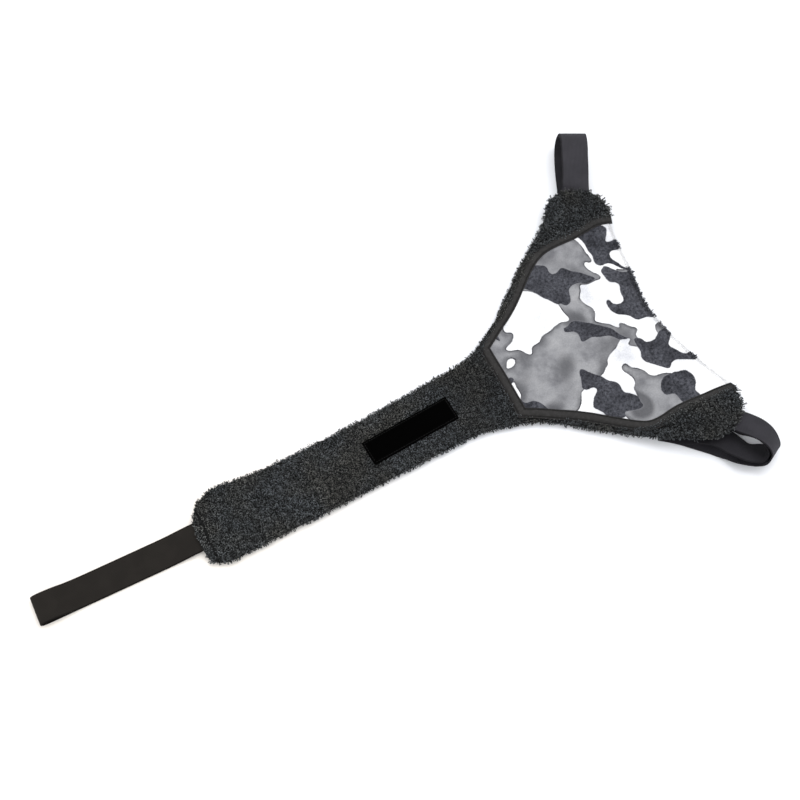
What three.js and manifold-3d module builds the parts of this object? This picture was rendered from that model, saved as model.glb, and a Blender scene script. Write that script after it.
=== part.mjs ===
// Bicycle sweat guard: a Y-shaped absorbent terry cover with a printed panel on its head and three elastic loops.
// Millimetres, +Z up. The cover lies flat. X runs along the arm from the tail loop to the head, Y across it.
// All outlines are drawn in the pattern's own frame, whose X axis is the arm's centre line. The finished group is then
// moved so that the origin is the middle of the bounding box's base.
import * as THREE from "three";
import { mergeVertices } from "three/addons/utils/BufferGeometryUtils.js";
import Module from "manifold-3d";

const wasm = await Module();
wasm.setup();

// ---------------------------------------------------------------- driving dimensions
const BACK_TOP = 3.5; // under terry layer: pile and ground, from the table up
const FILM = [3.8, 4.2]; // waterproof film between the layers
const FILM_INSET = 8; // the film stops short of the turned edge
const FRONT_BOTTOM = 4.5;
const FRONT_EDGE_TOP = 7.2; // upper terry layer where the sewn edge holds it down
const FRONT_FULL_TOP = 8.8; // and where it is free
const PUFF_WIDTH = 14; // how far in from an edge the pile reaches its full height
const PANEL_TOP = 6.8; // printed panel, in a cut-out of the upper terry layer
const TAPE = [7.1, 7.9]; // binding tape, over the seam between panel and terry
const TAPE_WIDTH = 9.5;
const TAPE_SEAM = 4.6; // the seam lies this far from the tape's inner edge
const GAP = 0.3;
const LABEL = { length: 82, width: 22.5, thick: 0.6, x: 25.6, y: -0.8, turn: 1.9, corner: 0.8 };
const WEB_WIDTH = 25; // elastic webbing
const WEB_THICK = 1.2;
const WEB_POCKET = { depth: 15, half_width: 13, low: 2.2, high: 6.2 }; // room for the webbing's sewn end between the layers
const WEB_LEVEL = 4.2; // middle of the two plies there
const PLY_STEP = 1.65; // from the middle of one ply to the middle of the next
const THREAD_R = 0.28;
const SEAM_R = 0.18;

// Outline of the terry, anticlockwise from the tail's lower corner.
const OUTLINE = [
  [-172.3, -12], [-170.5, -20.5], [-164, -26.4], [-154, -29.2], [-135, -29.6], [-100, -30], [-50, -30.6], [0, -30.6],
  [45, -30.9], [68, -31.2], [85, -33.6], [101, -38], [118, -43.5], [132, -51.5], [145.5, -62], [158.5, -72.8],
  [171.5, -83.2], [184, -94.6], [197, -104.8], [212, -115.2], [226, -124.2], [237.5, -131], [247, -134.6],
  [256, -134.4], [264, -131.6], [272.1, -126.8], [278.6, -122.1], [283.2, -117.2], [286, -110.4], [287.4, -102.4],
  [286.8, -93.4], [283.6, -84], [279.4, -72], [275.8, -58], [272.4, -44], [269.6, -32], [267.4, -19], [266.4, -8],
  [266, 2], [267, 12], [270, 25], [273.6, 41.5], [275.8, 55], [278, 70], [280.5, 82], [284, 91], [286.9, 99.5],
  [287.2, 107.5], [284, 115.4], [278.6, 122], [268.4, 128.8], [257.5, 133.2], [248.5, 134.8], [240.8, 131.6],
  [233, 124], [222.5, 114.2], [208, 105], [191.5, 94.2], [173.5, 81.3], [157, 68.5], [143, 57], [130, 49],
  [116, 41.8], [104, 37], [92, 34.6], [74, 33.2], [54, 32.2], [30, 31.2], [0, 30.2], [-40, 30], [-80, 30.6],
  [-112, 32.6], [-128, 34.8], [-141, 36.2], [-152, 34.4], [-161, 29.4], [-167.3, 21.5], [-170.8, 13], [-172.3, 3],
];
// The tape's inner edge, which is the printed panel's visible edge: top flap, arm side, bottom flap.
const EDGE_TOP = [
  [303, 76.5], [291, 81], [282.2, 84.2], [275, 86.6], [265, 88], [254, 87.4], [242, 87.2], [224, 88.6], [213, 88.4],
  [204, 85.8], [192, 78.6], [179, 68.6], [166.5, 58.8], [154, 50.4], [140.5, 43], [123.2, 33],
];
const EDGE_ARM = [[123.2, 33], [122.8, 20], [122.6, 6], [122, -8], [121.4, -20], [121, -29.2]];
const EDGE_BOTTOM = [
  [121, -29.2], [130, -34.4], [145, -44.4], [157, -52.2], [168, -60.4], [184, -74.4], [196, -85.2], [203, -90],
  [211, -91.8], [231.5, -90.6], [251.5, -91.8], [272.4, -92.6], [284.5, -94], [292, -95], [305, -96.8],
];

// The head's two corners lie on their folded loops, which lifts the cloth there. Each has an exit point for its loop,
// the loop's direction, the lift and the sideways slope at stations along it, and how far the lift spreads sideways.
const CORNERS = [
  {
    name: "left", exit: [268.6, 128.5], along: [0.518, 0.855], across: [-0.855, 0.518],
    lift: [[-92, 0], [-66, 1.8], [-40, 5], [-16, 8.2], [60, 8.2]], slope: [[-92, 0], [60, 0]], spread: [-48, -14, 16, 52],
  },
  {
    name: "right", exit: [269.7, -128.1], along: [0.594, -0.805], across: [-0.805, -0.594],
    lift: [[-114, 0], [-98, 0.6], [-80, 2.9], [-62, 5], [-44, 6.4], [-22, 7.7], [60, 7.7]],
    slope: [[-80, 0], [-62, 0.05], [-44, 0.16], [-22, 0.353], [60, 0.353]], spread: [-50, -14, 60, 90],
  },
];

// Elastic loops. Each is one closed band of webbing whose two plies lie on each other. A row is a cross-section of the
// band: the middle of its edge on one side, then on the other. The rows run out along the upper ply, round the far
// fold, back along the lower ply and round the sewn end.
const TAIL = { base: [-172, 3.4], heading: 177.1 };
// Side view of the tail loop: distance from the terry's edge, height. Its far end springs open a little.
const TAIL_UPPER = [[-11.5, 5.02], [-4, 5.02], [3, 4.9], [12, 3.9], [24, 2.5], [45, 2.25], [75, 2.25], [97, 2.5], [109, 3.6], [118, 5.7], [126, 7], [132, 7.1]];
const TAIL_FOLD = [[135.9, 6.2], [137.2, 4], [135.9, 1.8]];
const TAIL_LOWER = [[132, 0.95], [124, 0.64], [110, 0.64], [75, 0.62], [45, 0.62], [24, 0.85], [12, 2.25], [3, 3.25], [-4, 3.37], [-11.5, 3.37]];
// The head loops are folded under their corners. Rows are in the corner's own frame (along, across, height).
// The left one's inner ply lies close against the outer one.
const LEFT_OUTER = [
  [-11, -12.5, 13.2, -11, 12.5, 13.2], [-4, -12.4, 13.2, -4, 12.4, 13.2], [0.8, -12.4, 13.1, 0.5, 12.4, 13.3], [6.6, -12.1, 13.3, 4.9, 12.3, 17.5],
  [15.1, -11.8, 15.6, 12.4, 12.4, 21.1], [23.3, -11.4, 18.5, 20.5, 12.9, 23.8], [31.4, -10.8, 21.3, 28.9, 13.6, 26],
  [39.6, -10.5, 23.6, 37.5, 14, 27.8], [48.1, -9.9, 24.1, 46.2, 14.7, 27.7], [55.8, -9.2, 20.8, 53.3, 15.6, 23.1],
  [58.6, -8.1, 12.8, 55.7, 16.6, 15.2], [55.2, -7.5, 4.9, 53.7, 17.4, 7], [47.9, -7.5, 1.5, 47.1, 17.5, 2.1],
  [39.4, -7.7, 0.6, 38.5, 17.3, 0.6], [31, -8, 0.7, 29.7, 17, 0.6], [22.6, -8.5, 0.6, 20.9, 16.4, 0.6],
  [14.2, -9.3, 0.6, 12.2, 15.6, 0.7], [5.7, -10.1, 0.6, 3.6, 14.7, 0.7], [-2.9, -10.8, 0.6, -5, 14.1, 0.6],
];
// The right one leans over, and its inner ply springs away from the outer one.
const RIGHT_OUTER = [
  [-11, -11.6, 8.6, -11, 11.6, 16.8], [-1.9, -11.4, 8.6, -2.2, 11.6, 16.8], [8.1, -11, 10.4, 4.6, 12.4, 18.5],
  [17.5, -9.4, 12.5, 11.5, 13.3, 21.3], [26.3, -6.3, 12.8, 18.9, 14.9, 24], [33.6, -1.6, 10.5, 26.8, 17.5, 25.1],
  [38.4, 3.8, 6.1, 33.2, 22.2, 22.2], [35.2, 8, 1.5, 32.8, 28.2, 15.4], [27.1, 7.7, 0.6, 26.9, 30.9, 9.8],
  [18.9, 10.6, 0.7, 18.3, 33.8, 10], [11.3, 11.2, 0.8, 10.1, 34.9, 8.4], [2.4, 9, 1.2, 2.3, 33.7, 4.6],
  [-7.2, 8, 1, -5.2, 33, 1.2], [-15.9, 8.4, 0.6, -13.4, 33.3, 0.9], [-24.6, 9.4, 0.6, -21.6, 34.3, 1.2],
  [-33.2, 10.6, 0.6, -29.8, 35.3, 1.7], [-41.8, 11.8, 0.6, -38.1, 36.5, 2.2], [-50.4, 13.3, 0.6, -46.2, 37.9, 1.9],
  [-58.8, 14.8, 0.6, -54.4, 39.5, 0.6],
];
const RIGHT_INNER = [
  [-10.9, -11.1, 7, -11, 12.3, 15.2], [-1.7, -10.9, 7, -2.2, 12.3, 15.2], [7.6, -10.6, 8.6, 4.5, 13, 16],
  [16.6, -9.1, 10.2, 10.6, 13.2, 19.7], [25.1, -6.2, 10.6, 17.3, 14.2, 22.7], [32.6, -2.1, 9.7, 24.5, 17.1, 23.5],
  [37.1, 2.8, 5.8, 30.3, 21.8, 20.6], [31.4, 4.7, 2.1, 30.7, 26.7, 13.9], [22.8, 7.8, 2.1, 23.7, 30.3, 13.2],
  [15.4, 11.2, 2.1, 15.3, 32.6, 15.2], [8, 9.8, 2.6, 7.4, 32.1, 13.9], [-1, 7.2, 3.3, -0.1, 30.8, 11.6],
  [-10, 6.3, 2.9, -7.7, 29.7, 11.5], [-18.3, 7.5, 2.2, -15.7, 30.2, 12.4], [-26.5, 8.7, 2.2, -23.3, 32.1, 10.3],
  [-34.7, 10.1, 2.2, -30.4, 34.3, 6.5], [-42.7, 11.7, 2.2, -38.1, 36.2, 4.1], [-50.6, 13.2, 2.3, -46.3, 37.8, 3.5],
  [-59, 14.8, 2.3, -54.6, 39.4, 2.3],
];

// ---------------------------------------------------------------- helpers
const smooth = (t) => { const u = Math.min(1, Math.max(0, t)); return u * u * (3 - 2 * u); };
function along(table, x) {
  if (x <= table[0][0]) return table[0][1];
  for (let i = 1; i < table.length; i++)
    if (x <= table[i][0]) {
      const [x0, y0] = table[i - 1], [x1, y1] = table[i];
      return y0 + (y1 - y0) * ((x - x0) / (x1 - x0));
    }
  return table[table.length - 1][1];
}
// How far the cloth's underside is above the table at a point of the pattern.
function lift(x, y) {
  let h = 0;
  for (const c of CORNERS) {
    const dx = x - c.exit[0], dy = y - c.exit[1];
    const a = dx * c.along[0] + dy * c.along[1], b = dx * c.across[0] + dy * c.across[1];
    const bs = b > 13 ? 13 + 4 * (1 - Math.exp(-(b - 13) / 4)) : Math.max(b, -16);
    const [s0, s1, s2, s3] = c.spread;
    const side = b < s1 ? smooth((b - s0) / (s1 - s0)) : b > s2 ? smooth((s3 - b) / (s3 - s2)) : 1;
    h = Math.max(h, (along(c.lift, a) + along(c.slope, a) * bs) * side);
  }
  return Math.max(0, h);
}
const spline = (points, closed, per) =>
  new THREE.CatmullRomCurve3(points.map(([x, y]) => new THREE.Vector3(x, y, 0)), closed, "centripetal")
    .getPoints(per * (closed ? points.length : points.length - 1)).slice(0, closed ? -1 : undefined).map((p) => [p.x, p.y]);
function distance(p, line, closed) {
  let best = Infinity;
  for (let i = 0; i < line.length - (closed ? 0 : 1); i++) {
    const a = line[i], b = line[(i + 1) % line.length];
    const ux = b[0] - a[0], uy = b[1] - a[1];
    const t = Math.min(1, Math.max(0, ((p[0] - a[0]) * ux + (p[1] - a[1]) * uy) / (ux * ux + uy * uy || 1)));
    best = Math.min(best, Math.hypot(p[0] - a[0] - t * ux, p[1] - a[1] - t * uy));
  }
  return best;
}
// A line moved sideways by d to its left, mitred at its corners; what folds over itself is dropped.
function offset(line, d, closed) {
  const n = line.length, out = [];
  for (let i = 0; i < n; i++) {
    const p = line[i], q = line[closed ? (i + n - 1) % n : Math.max(0, i - 1)], r = line[closed ? (i + 1) % n : Math.min(n - 1, i + 1)];
    let u = [p[0] - q[0], p[1] - q[1]], v = [r[0] - p[0], r[1] - p[1]];
    if (!Math.hypot(...u)) u = v;
    if (!Math.hypot(...v)) v = u;
    const lu = Math.hypot(...u), lv = Math.hypot(...v);
    const nu = [-u[1] / lu, u[0] / lu], nv = [-v[1] / lv, v[0] / lv];
    const k = 1 + nu[0] * nv[0] + nu[1] * nv[1];
    out.push([p[0] + (d * (nu[0] + nv[0])) / k, p[1] + (d * (nu[1] + nv[1])) / k]);
  }
  return out.filter((p) => distance(p, line, closed) > Math.abs(d) * 0.985);
}
function solid(geometry) {
  const g = geometry.clone();
  g.deleteAttribute("normal");
  g.deleteAttribute("uv");
  const m = mergeVertices(g, 1e-4);
  return new wasm.Manifold(new wasm.Mesh({ numProp: 3, vertProperties: new Float32Array(m.attributes.position.array), triVerts: new Uint32Array(m.index.array) }));
}
function geometryOf(manifold) {
  const m = manifold.getMesh();
  return new THREE.BufferGeometry()
    .setAttribute("position", new THREE.BufferAttribute(Float32Array.from(m.vertProperties), 3))
    .setIndex(new THREE.BufferAttribute(Uint32Array.from(m.triVerts), 1));
}
// A flat outline as a tall prism, to cut cloth with.
function prism(points, low = -20, high = 60) {
  const shape = new THREE.Shape(points.map(([x, y]) => new THREE.Vector2(x, y)));
  return solid(new THREE.ExtrudeGeometry(shape, { depth: high - low, bevelEnabled: false }).translate(0, 0, low));
}

// ---------------------------------------------------------------- the cloth's grid
// Every layer is bent over the same grid of lines, so neighbouring layers stay parallel.
const range = (from, to, step) => Array.from({ length: Math.round((to - from) / step) + 1 }, (_, i) => from + i * step);
const XS = [-186, -172, -160, -142, -118, -90, -62, -34, -6, 22, 50, 74, 94, ...range(108, 300, 9.6)];
const YS = [...range(-156, -42, 9.5), -30, -23, -14, 0, 14, 23, 30, ...range(42, 156, 9.5)];
const at = (height) => XS.map((x) => YS.map((y) => height(x, y)));
const LIFT = at(lift);
function sample(values, x, y) {
  let i = XS.findIndex((v) => v > x) - 1, j = YS.findIndex((v) => v > y) - 1;
  i = Math.max(0, Math.min(XS.length - 2, i)); j = Math.max(0, Math.min(YS.length - 2, j));
  const u = (x - XS[i]) / (XS[i + 1] - XS[i]), v = (y - YS[j]) / (YS[j + 1] - YS[j]);
  const a = values[i][j], b = values[i + 1][j], c = values[i + 1][j + 1], d = values[i][j + 1];
  return u >= v ? a + (b - a) * u + (c - b) * v : a + (c - d) * u + (d - a) * v;
}
const cloth = (x, y) => sample(LIFT, x, y);
// A closed slab of cloth between two heights above the lifted table. A height is a number or a table of grid values.
function slab(low, high) {
  const pick = (h, i, j) => (typeof h === "number" ? h : h[i][j]);
  const nx = XS.length, ny = YS.length, position = [], index = [];
  for (const h of [low, high])
    for (let i = 0; i < nx; i++) for (let j = 0; j < ny; j++) position.push(XS[i], YS[j], LIFT[i][j] + pick(h, i, j));
  const v = (k, i, j) => k * nx * ny + i * ny + j;
  for (let i = 0; i < nx - 1; i++)
    for (let j = 0; j < ny - 1; j++) {
      index.push(v(1, i, j), v(1, i + 1, j), v(1, i + 1, j + 1), v(1, i, j), v(1, i + 1, j + 1), v(1, i, j + 1));
      index.push(v(0, i, j), v(0, i + 1, j + 1), v(0, i + 1, j), v(0, i, j), v(0, i, j + 1), v(0, i + 1, j + 1));
    }
  const wall = (p, q) => index.push(v(0, ...p), v(0, ...q), v(1, ...q), v(0, ...p), v(1, ...q), v(1, ...p));
  for (let i = 0; i < nx - 1; i++) { wall([i, 0], [i + 1, 0]); wall([i + 1, ny - 1], [i, ny - 1]); }
  for (let j = 0; j < ny - 1; j++) { wall([nx - 1, j], [nx - 1, j + 1]); wall([0, j + 1], [0, j]); }
  return solid(new THREE.BufferGeometry().setAttribute("position", new THREE.Float32BufferAttribute(position, 3)).setIndex(index));
}

// ---------------------------------------------------------------- outlines
const outline = spline(OUTLINE, true, 2);
const edge = [...spline(EDGE_TOP, false, 2), ...spline(EDGE_ARM, false, 1).slice(1), ...spline(EDGE_BOTTOM, false, 2).slice(1)];
// The edge runs from the top flap round to the bottom flap, so the panel is on its left and the terry on its right.
const panelRegion = (d) => [...(d ? offset(edge, -d, false) : edge), [330, -100], [330, 80]];
const panelPrism = (d) => prism(panelRegion(d));
const outlinePrism = prism(outline);

// Where the webbing's sewn ends lie between the layers.
function pocket(exit, dir, side) {
  const { depth, half_width: w, low, high } = WEB_POCKET;
  const corner = (a, b) => [exit[0] + dir[0] * a + side[0] * b, exit[1] + dir[1] * a + side[1] * b];
  return slab(low, high).intersect(prism([corner(-depth, w), corner(-depth, -w), corner(9, -w), corner(9, w)]));
}
const heading = (TAIL.heading * Math.PI) / 180;
const tailDir = [Math.cos(heading), Math.sin(heading)], tailSide = [-Math.sin(heading), Math.cos(heading)];
const pockets = [
  pocket(TAIL.base, tailDir, tailSide),
  ...CORNERS.map((c) => pocket(c.exit, c.along, [-c.along[1], c.along[0]])),
];
const clearPockets = (s) => pockets.reduce((r, p) => r.subtract(p), s);

// ---------------------------------------------------------------- cloth layers
const seamLine = offset(edge, -TAPE_SEAM, false);
const puff = at((x, y) => {
  const d = Math.min(distance([x, y], outline, true), distance([x, y], seamLine, false));
  const t = Math.min(1, d / PUFF_WIDTH);
  return FRONT_EDGE_TOP + (FRONT_FULL_TOP - FRONT_EDGE_TOP) * Math.sqrt(1 - (1 - t) ** 2);
});
const terryTop = at((x, y) => 0).map((row, i) => row.map((_, j) => puff[i][j] + LIFT[i][j]));

const back = clearPockets(slab(0, BACK_TOP).intersect(outlinePrism));
const film = clearPockets(slab(FILM[0], FILM[1]).intersect(prism(offset(outline, FILM_INSET, true))));
const groove = { x: -163, half: 1.5, floor: 7.3 };
const front = clearPockets(slab(FRONT_BOTTOM, puff).intersect(outlinePrism))
  .subtract(panelPrism(TAPE_SEAM + GAP / 2))
  .subtract(slab(PANEL_TOP, 40).intersect(panelPrism(TAPE_WIDTH + GAP)))
  .subtract(prism([[groove.x - groove.half, -40], [groove.x + groove.half, -40], [groove.x + groove.half, 45], [groove.x - groove.half, 45]], groove.floor, 30));
const panel = slab(FRONT_BOTTOM, PANEL_TOP).intersect(outlinePrism).intersect(panelPrism(TAPE_SEAM - GAP / 2));
const tape = slab(TAPE[0], TAPE[1]).intersect(outlinePrism).intersect(panelPrism(TAPE_WIDTH)).subtract(panelPrism(0));

// ---------------------------------------------------------------- label
const labelTurn = (LABEL.turn * Math.PI) / 180;
function labelPoint(u, v) {
  return [LABEL.x + u * Math.cos(labelTurn) - v * Math.sin(labelTurn), LABEL.y + u * Math.sin(labelTurn) + v * Math.cos(labelTurn)];
}
function labelOutline(inset) {
  const L = LABEL.length / 2 - inset, W = LABEL.width / 2 - inset, c = LABEL.corner;
  return [[-L + c, -W], [L - c, -W], [L, -W + c], [L, W - c], [L - c, W], [-L + c, W], [-L, W - c], [-L, -W + c]].map(([u, v]) => labelPoint(u, v));
}
const labelLow = FRONT_FULL_TOP + GAP, labelHigh = labelLow + LABEL.thick;
const label = prism(labelOutline(0), labelLow, labelHigh);

// ---------------------------------------------------------------- elastic webbing
// A closed band through cross-sections given as the middle points of its two edges.
function band(rows, per) {
  const curve = (k) => new THREE.CatmullRomCurve3(rows.map((r) => new THREE.Vector3(...r.slice(k, k + 3))), true, "catmullrom", 0.5);
  const n = rows.length * per, p = curve(0).getPoints(n).slice(0, -1), q = curve(3).getPoints(n).slice(0, -1);
  const position = [], index = [];
  for (let i = 0; i < n; i++) {
    const before = p[(i + n - 1) % n].clone().add(q[(i + n - 1) % n]), after = p[(i + 1) % n].clone().add(q[(i + 1) % n]);
    const normal = after.sub(before).cross(q[i].clone().sub(p[i])).normalize().multiplyScalar(WEB_THICK / 2);
    for (const c of [p[i].clone().add(normal), q[i].clone().add(normal), q[i].clone().sub(normal), p[i].clone().sub(normal)]) position.push(c.x, c.y, c.z);
  }
  for (let i = 0; i < n; i++)
    for (let k = 0; k < 4; k++) {
      const a = i * 4 + k, b = i * 4 + ((k + 1) % 4), c = ((i + 1) % n) * 4 + ((k + 1) % 4), d = ((i + 1) % n) * 4 + k;
      index.push(a, b, c, a, c, d);
    }
  const g = new THREE.BufferGeometry().setAttribute("position", new THREE.Float32BufferAttribute(position, 3)).setIndex(index);
  const made = solid(g);
  return made.volume() > 0 ? made : solid(g.setIndex([...index].reverse()));
}
// The tight fold of a band whose plies lie on each other, seen from the side: five points round it.
function tightFold(c, dir) {
  const r = PLY_STEP / 2;
  return [60, 20, -20, -60].map((deg) => [c[0] + dir * r * Math.cos((deg * Math.PI) / 180), c[1] + r * Math.sin((deg * Math.PI) / 180)]);
}
const tailProfile = [...TAIL_UPPER, ...TAIL_FOLD, ...TAIL_LOWER, ...tightFold([-12, WEB_LEVEL], -1).reverse()];
const tailRows = tailProfile.map(([u, z]) => {
  const c = [TAIL.base[0] + tailDir[0] * u, TAIL.base[1] + tailDir[1] * u], w = WEB_WIDTH / 2;
  return [c[0] - tailSide[0] * w, c[1] - tailSide[1] * w, z, c[0] + tailSide[0] * w, c[1] + tailSide[1] * w, z];
});
// A head loop's rows in the pattern's frame. Its sewn end follows the cloth between the layers.
function headPly(corner, rows, level) {
  return rows.map((row) => {
    const point = (a, b, z) => {
      const x = corner.exit[0] + corner.along[0] * a + corner.across[0] * b, y = corner.exit[1] + corner.along[1] * a + corner.across[1] * b;
      return [x, y, row[0] < -1 && row[2] > 6.5 ? cloth(x, y) + level : Math.max(z, 0.75)];
    };
    return [...point(row[0], row[1], row[2]), ...point(row[3], row[4], row[5])];
  });
}
// A copy of a ply's rows, moved square to it by d towards the hollow of the fold.
function innerPly(rows, d) {
  const mid = (r) => [0, 1, 2].map((k) => (r[k] + r[k + 3]) / 2);
  return rows.map((row, i) => {
    const t = new THREE.Vector3(...mid(rows[Math.min(i + 1, rows.length - 1)])).sub(new THREE.Vector3(...mid(rows[Math.max(i - 1, 0)])));
    const w = new THREE.Vector3(row[3] - row[0], row[4] - row[1], row[5] - row[2]);
    const n = w.cross(t).normalize().multiplyScalar(d);
    return row.map((v, k) => v + n.getComponent(k % 3));
  });
}
// The whole closed band: the outer ply, a tight fold at the far end, the inner ply and a tight fold at the sewn end.
function headRows(outer, inner) {
  const turn = (before, from, to) =>
    [0.25, 0.5, 0.75].map((t) =>
      from.map((v, i) => {
        const k = i < 3 ? 0 : 3, length = Math.hypot(from[k] - before[k], from[k + 1] - before[k + 1], from[k + 2] - before[k + 2]);
        return v + (to[i] - v) * t + ((v - before[i]) / length) * PLY_STEP * 0.5 * Math.sin(Math.PI * t);
      }));
  const back = [...inner].reverse();
  return [...outer, ...turn(outer.at(-2), outer.at(-1), back[0]), ...back, ...turn(back.at(-2), back.at(-1), outer[0])];
}
const leftOuter = headPly(CORNERS[0], LEFT_OUTER, WEB_LEVEL + PLY_STEP / 2), leftInner = innerPly(leftOuter, PLY_STEP);
const rightOuter = headPly(CORNERS[1], RIGHT_OUTER, WEB_LEVEL + PLY_STEP / 2), rightInner = headPly(CORNERS[1], RIGHT_INNER, WEB_LEVEL - PLY_STEP / 2);

// ---------------------------------------------------------------- threads
// A thread through points, as an extruded square section.
function thread(points, r, steps) {
  const path = new THREE.CatmullRomCurve3(points.map((p) => new THREE.Vector3(...p)), false, "centripetal");
  const shape = new THREE.Shape([new THREE.Vector2(r, 0), new THREE.Vector2(0, r), new THREE.Vector2(-r, 0), new THREE.Vector2(0, -r)]);
  return solid(new THREE.ExtrudeGeometry(shape, { extrudePath: path, steps, bevelEnabled: false }));
}
// Points every `step` along a line.
function spaced(line, step) {
  const path = new THREE.CurvePath();
  for (let i = 1; i < line.length; i++) path.add(new THREE.LineCurve(new THREE.Vector2(...line[i - 1]), new THREE.Vector2(...line[i])));
  const n = Math.max(2, Math.round(path.getLength() / step));
  return Array.from({ length: n + 1 }, (_, i) => path.getPointAt(i / n)).map((p) => [p.x, p.y]);
}
const onTape = (d) => spaced(offset(edge, -d, false).filter(([x]) => x < 277), 7).map(([x, y]) => [x, y, cloth(x, y) + TAPE[1] + GAP + THREAD_R]);
const tapeOuter = onTape(TAPE_WIDTH - 1.3), tapeInner = onTape(1.3);

const ring = labelOutline(1.6);
const labelPath = spaced([...ring, ring[0]], 3).slice(0, -1).map(([x, y]) => [x, y, labelHigh + GAP + THREAD_R]);

const tailPath = spaced([[groove.x, -24], [groove.x, 24.5]], 6).map(([x, y]) => [x, y, groove.floor + GAP + THREAD_R + 0.05]);
function barStitch(c) {
  const point = (a, b) => [c.exit[0] + c.along[0] * a + c.across[0] * b, c.exit[1] + c.along[1] * a + c.across[1] * b];
  const box = [point(-10, -9.5), point(-10, 9.5), point(-5, 9.5), point(-5, -9.5), point(-9.2, -9.5)];
  return spaced(box, 2.4).map(([x, y]) => [x, y, sample(terryTop, x, y) + GAP + THREAD_R]);
}
const bowPath = spaced(offset(outline, 3.6, true).filter(([x, y]) => x > 240 && y < 76 && y > -84), 7).map(([x, y]) => [x, y, cloth(x, y) + PANEL_TOP + GAP + THREAD_R]);
const seamPath = (keep) => {
  const line = offset(outline, 4.6, true).filter(([x, y]) => keep(x, y));
  return spaced(line, 9).map(([x, y]) => [x, y, cloth(x, y) + (BACK_TOP + FRONT_BOTTOM) / 2]);
};
const seamRight = seamPath((x, y) => y < -20 && x > -162 && x < 245), seamLeft = seamPath((x, y) => y > 22 && x > -160 && x < 240);

// ---------------------------------------------------------------- the assembly
const group = new THREE.Group();
function add(name, made, color, roughness) {
  const geometry = geometryOf(made);
  geometry.computeVertexNormals();
  const mesh = new THREE.Mesh(geometry, new THREE.MeshStandardMaterial({ color, roughness, metalness: 0, flatShading: true }));
  mesh.name = name;
  group.add(mesh);
  return mesh;
}
add("terry_back", back, 0x2c3032, 1);
add("moisture_barrier", film, 0xc9cdd2, 0.5);
add("terry_front", front, 0x34393a, 1);
add("print_panel", panel, 0xa4a4a8, 0.85);
add("binding_tape", tape, 0x2a2624, 0.9);
add("label_patch", label, 0x0a0a0a, 0.7);
add("elastic_loop_tail", band(tailRows, 2), 0x2b2725, 0.8);
add("elastic_loop_left", band(headRows(leftOuter, leftInner), 2), 0x403e43, 0.8);
add("elastic_loop_right", band(headRows(rightOuter, rightInner), 2), 0x403e43, 0.8);
add("label_stitching", thread(labelPath, THREAD_R, 60), 0x111111, 0.7);
add("tape_stitching_outer", thread(tapeOuter, THREAD_R, 76), 0x1c1a19, 0.7);
add("tape_stitching_inner", thread(tapeInner, THREAD_R, 70), 0x1c1a19, 0.7);
add("tail_stitching", thread(tailPath, THREAD_R, 10), 0x202324, 0.7);
add("left_loop_stitching", thread(barStitch(CORNERS[0]), THREAD_R, 34), 0x202324, 0.7);
add("right_loop_stitching", thread(barStitch(CORNERS[1]), THREAD_R, 34), 0x202324, 0.7);
add("bow_edge_stitching", thread(bowPath, THREAD_R, 24), 0x8d8d90, 0.7);
add("side_seam_left", thread(seamLeft, SEAM_R, 60), 0x202324, 0.7);
add("side_seam_right", thread(seamRight, SEAM_R, 60), 0x202324, 0.7);

// The origin is the middle of the bounding box's base.
const box = new THREE.Box3().setFromObject(group), centre = box.getCenter(new THREE.Vector3());
for (const mesh of group.children) mesh.geometry.translate(-centre.x, -centre.y, -box.min.z);

export default group;
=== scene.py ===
"""Bicycle sweat guard: a Y-shaped terry cover with a printed panel, a bound seam, a bare label and three elastic loops.

The shapes below are in millimetres in the pattern's frame (X along the arm, its centre line at y = 0) and are moved to
the row frame as the meshes are made.
"""

import math

import bpy
import numpy as np
from mathutils import Matrix, Vector, geometry, kdtree


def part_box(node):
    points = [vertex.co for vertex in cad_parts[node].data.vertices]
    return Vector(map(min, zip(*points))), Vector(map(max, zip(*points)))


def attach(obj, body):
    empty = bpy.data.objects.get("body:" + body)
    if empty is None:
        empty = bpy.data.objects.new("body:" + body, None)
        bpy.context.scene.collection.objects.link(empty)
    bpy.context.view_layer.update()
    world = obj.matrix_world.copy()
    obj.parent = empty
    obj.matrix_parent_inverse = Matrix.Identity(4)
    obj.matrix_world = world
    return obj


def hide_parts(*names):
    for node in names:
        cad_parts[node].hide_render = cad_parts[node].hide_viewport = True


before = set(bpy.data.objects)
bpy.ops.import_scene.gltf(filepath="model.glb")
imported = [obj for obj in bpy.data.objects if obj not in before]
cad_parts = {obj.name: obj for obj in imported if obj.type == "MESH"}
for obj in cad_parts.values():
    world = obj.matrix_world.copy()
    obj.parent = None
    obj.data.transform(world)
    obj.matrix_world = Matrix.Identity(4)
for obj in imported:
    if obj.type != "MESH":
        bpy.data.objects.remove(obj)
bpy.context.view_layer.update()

# ------------------------------------------------------------------ the pattern
LABEL = dict(length=82, width=22.5, x=25.6, y=-0.8, turn=math.radians(1.9))
_lo, _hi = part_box("label_patch")
SHIFT = np.array([(_lo.x + _hi.x) * 500 - LABEL["x"], (_lo.y + _hi.y) * 500 - LABEL["y"], 0.0])

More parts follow.
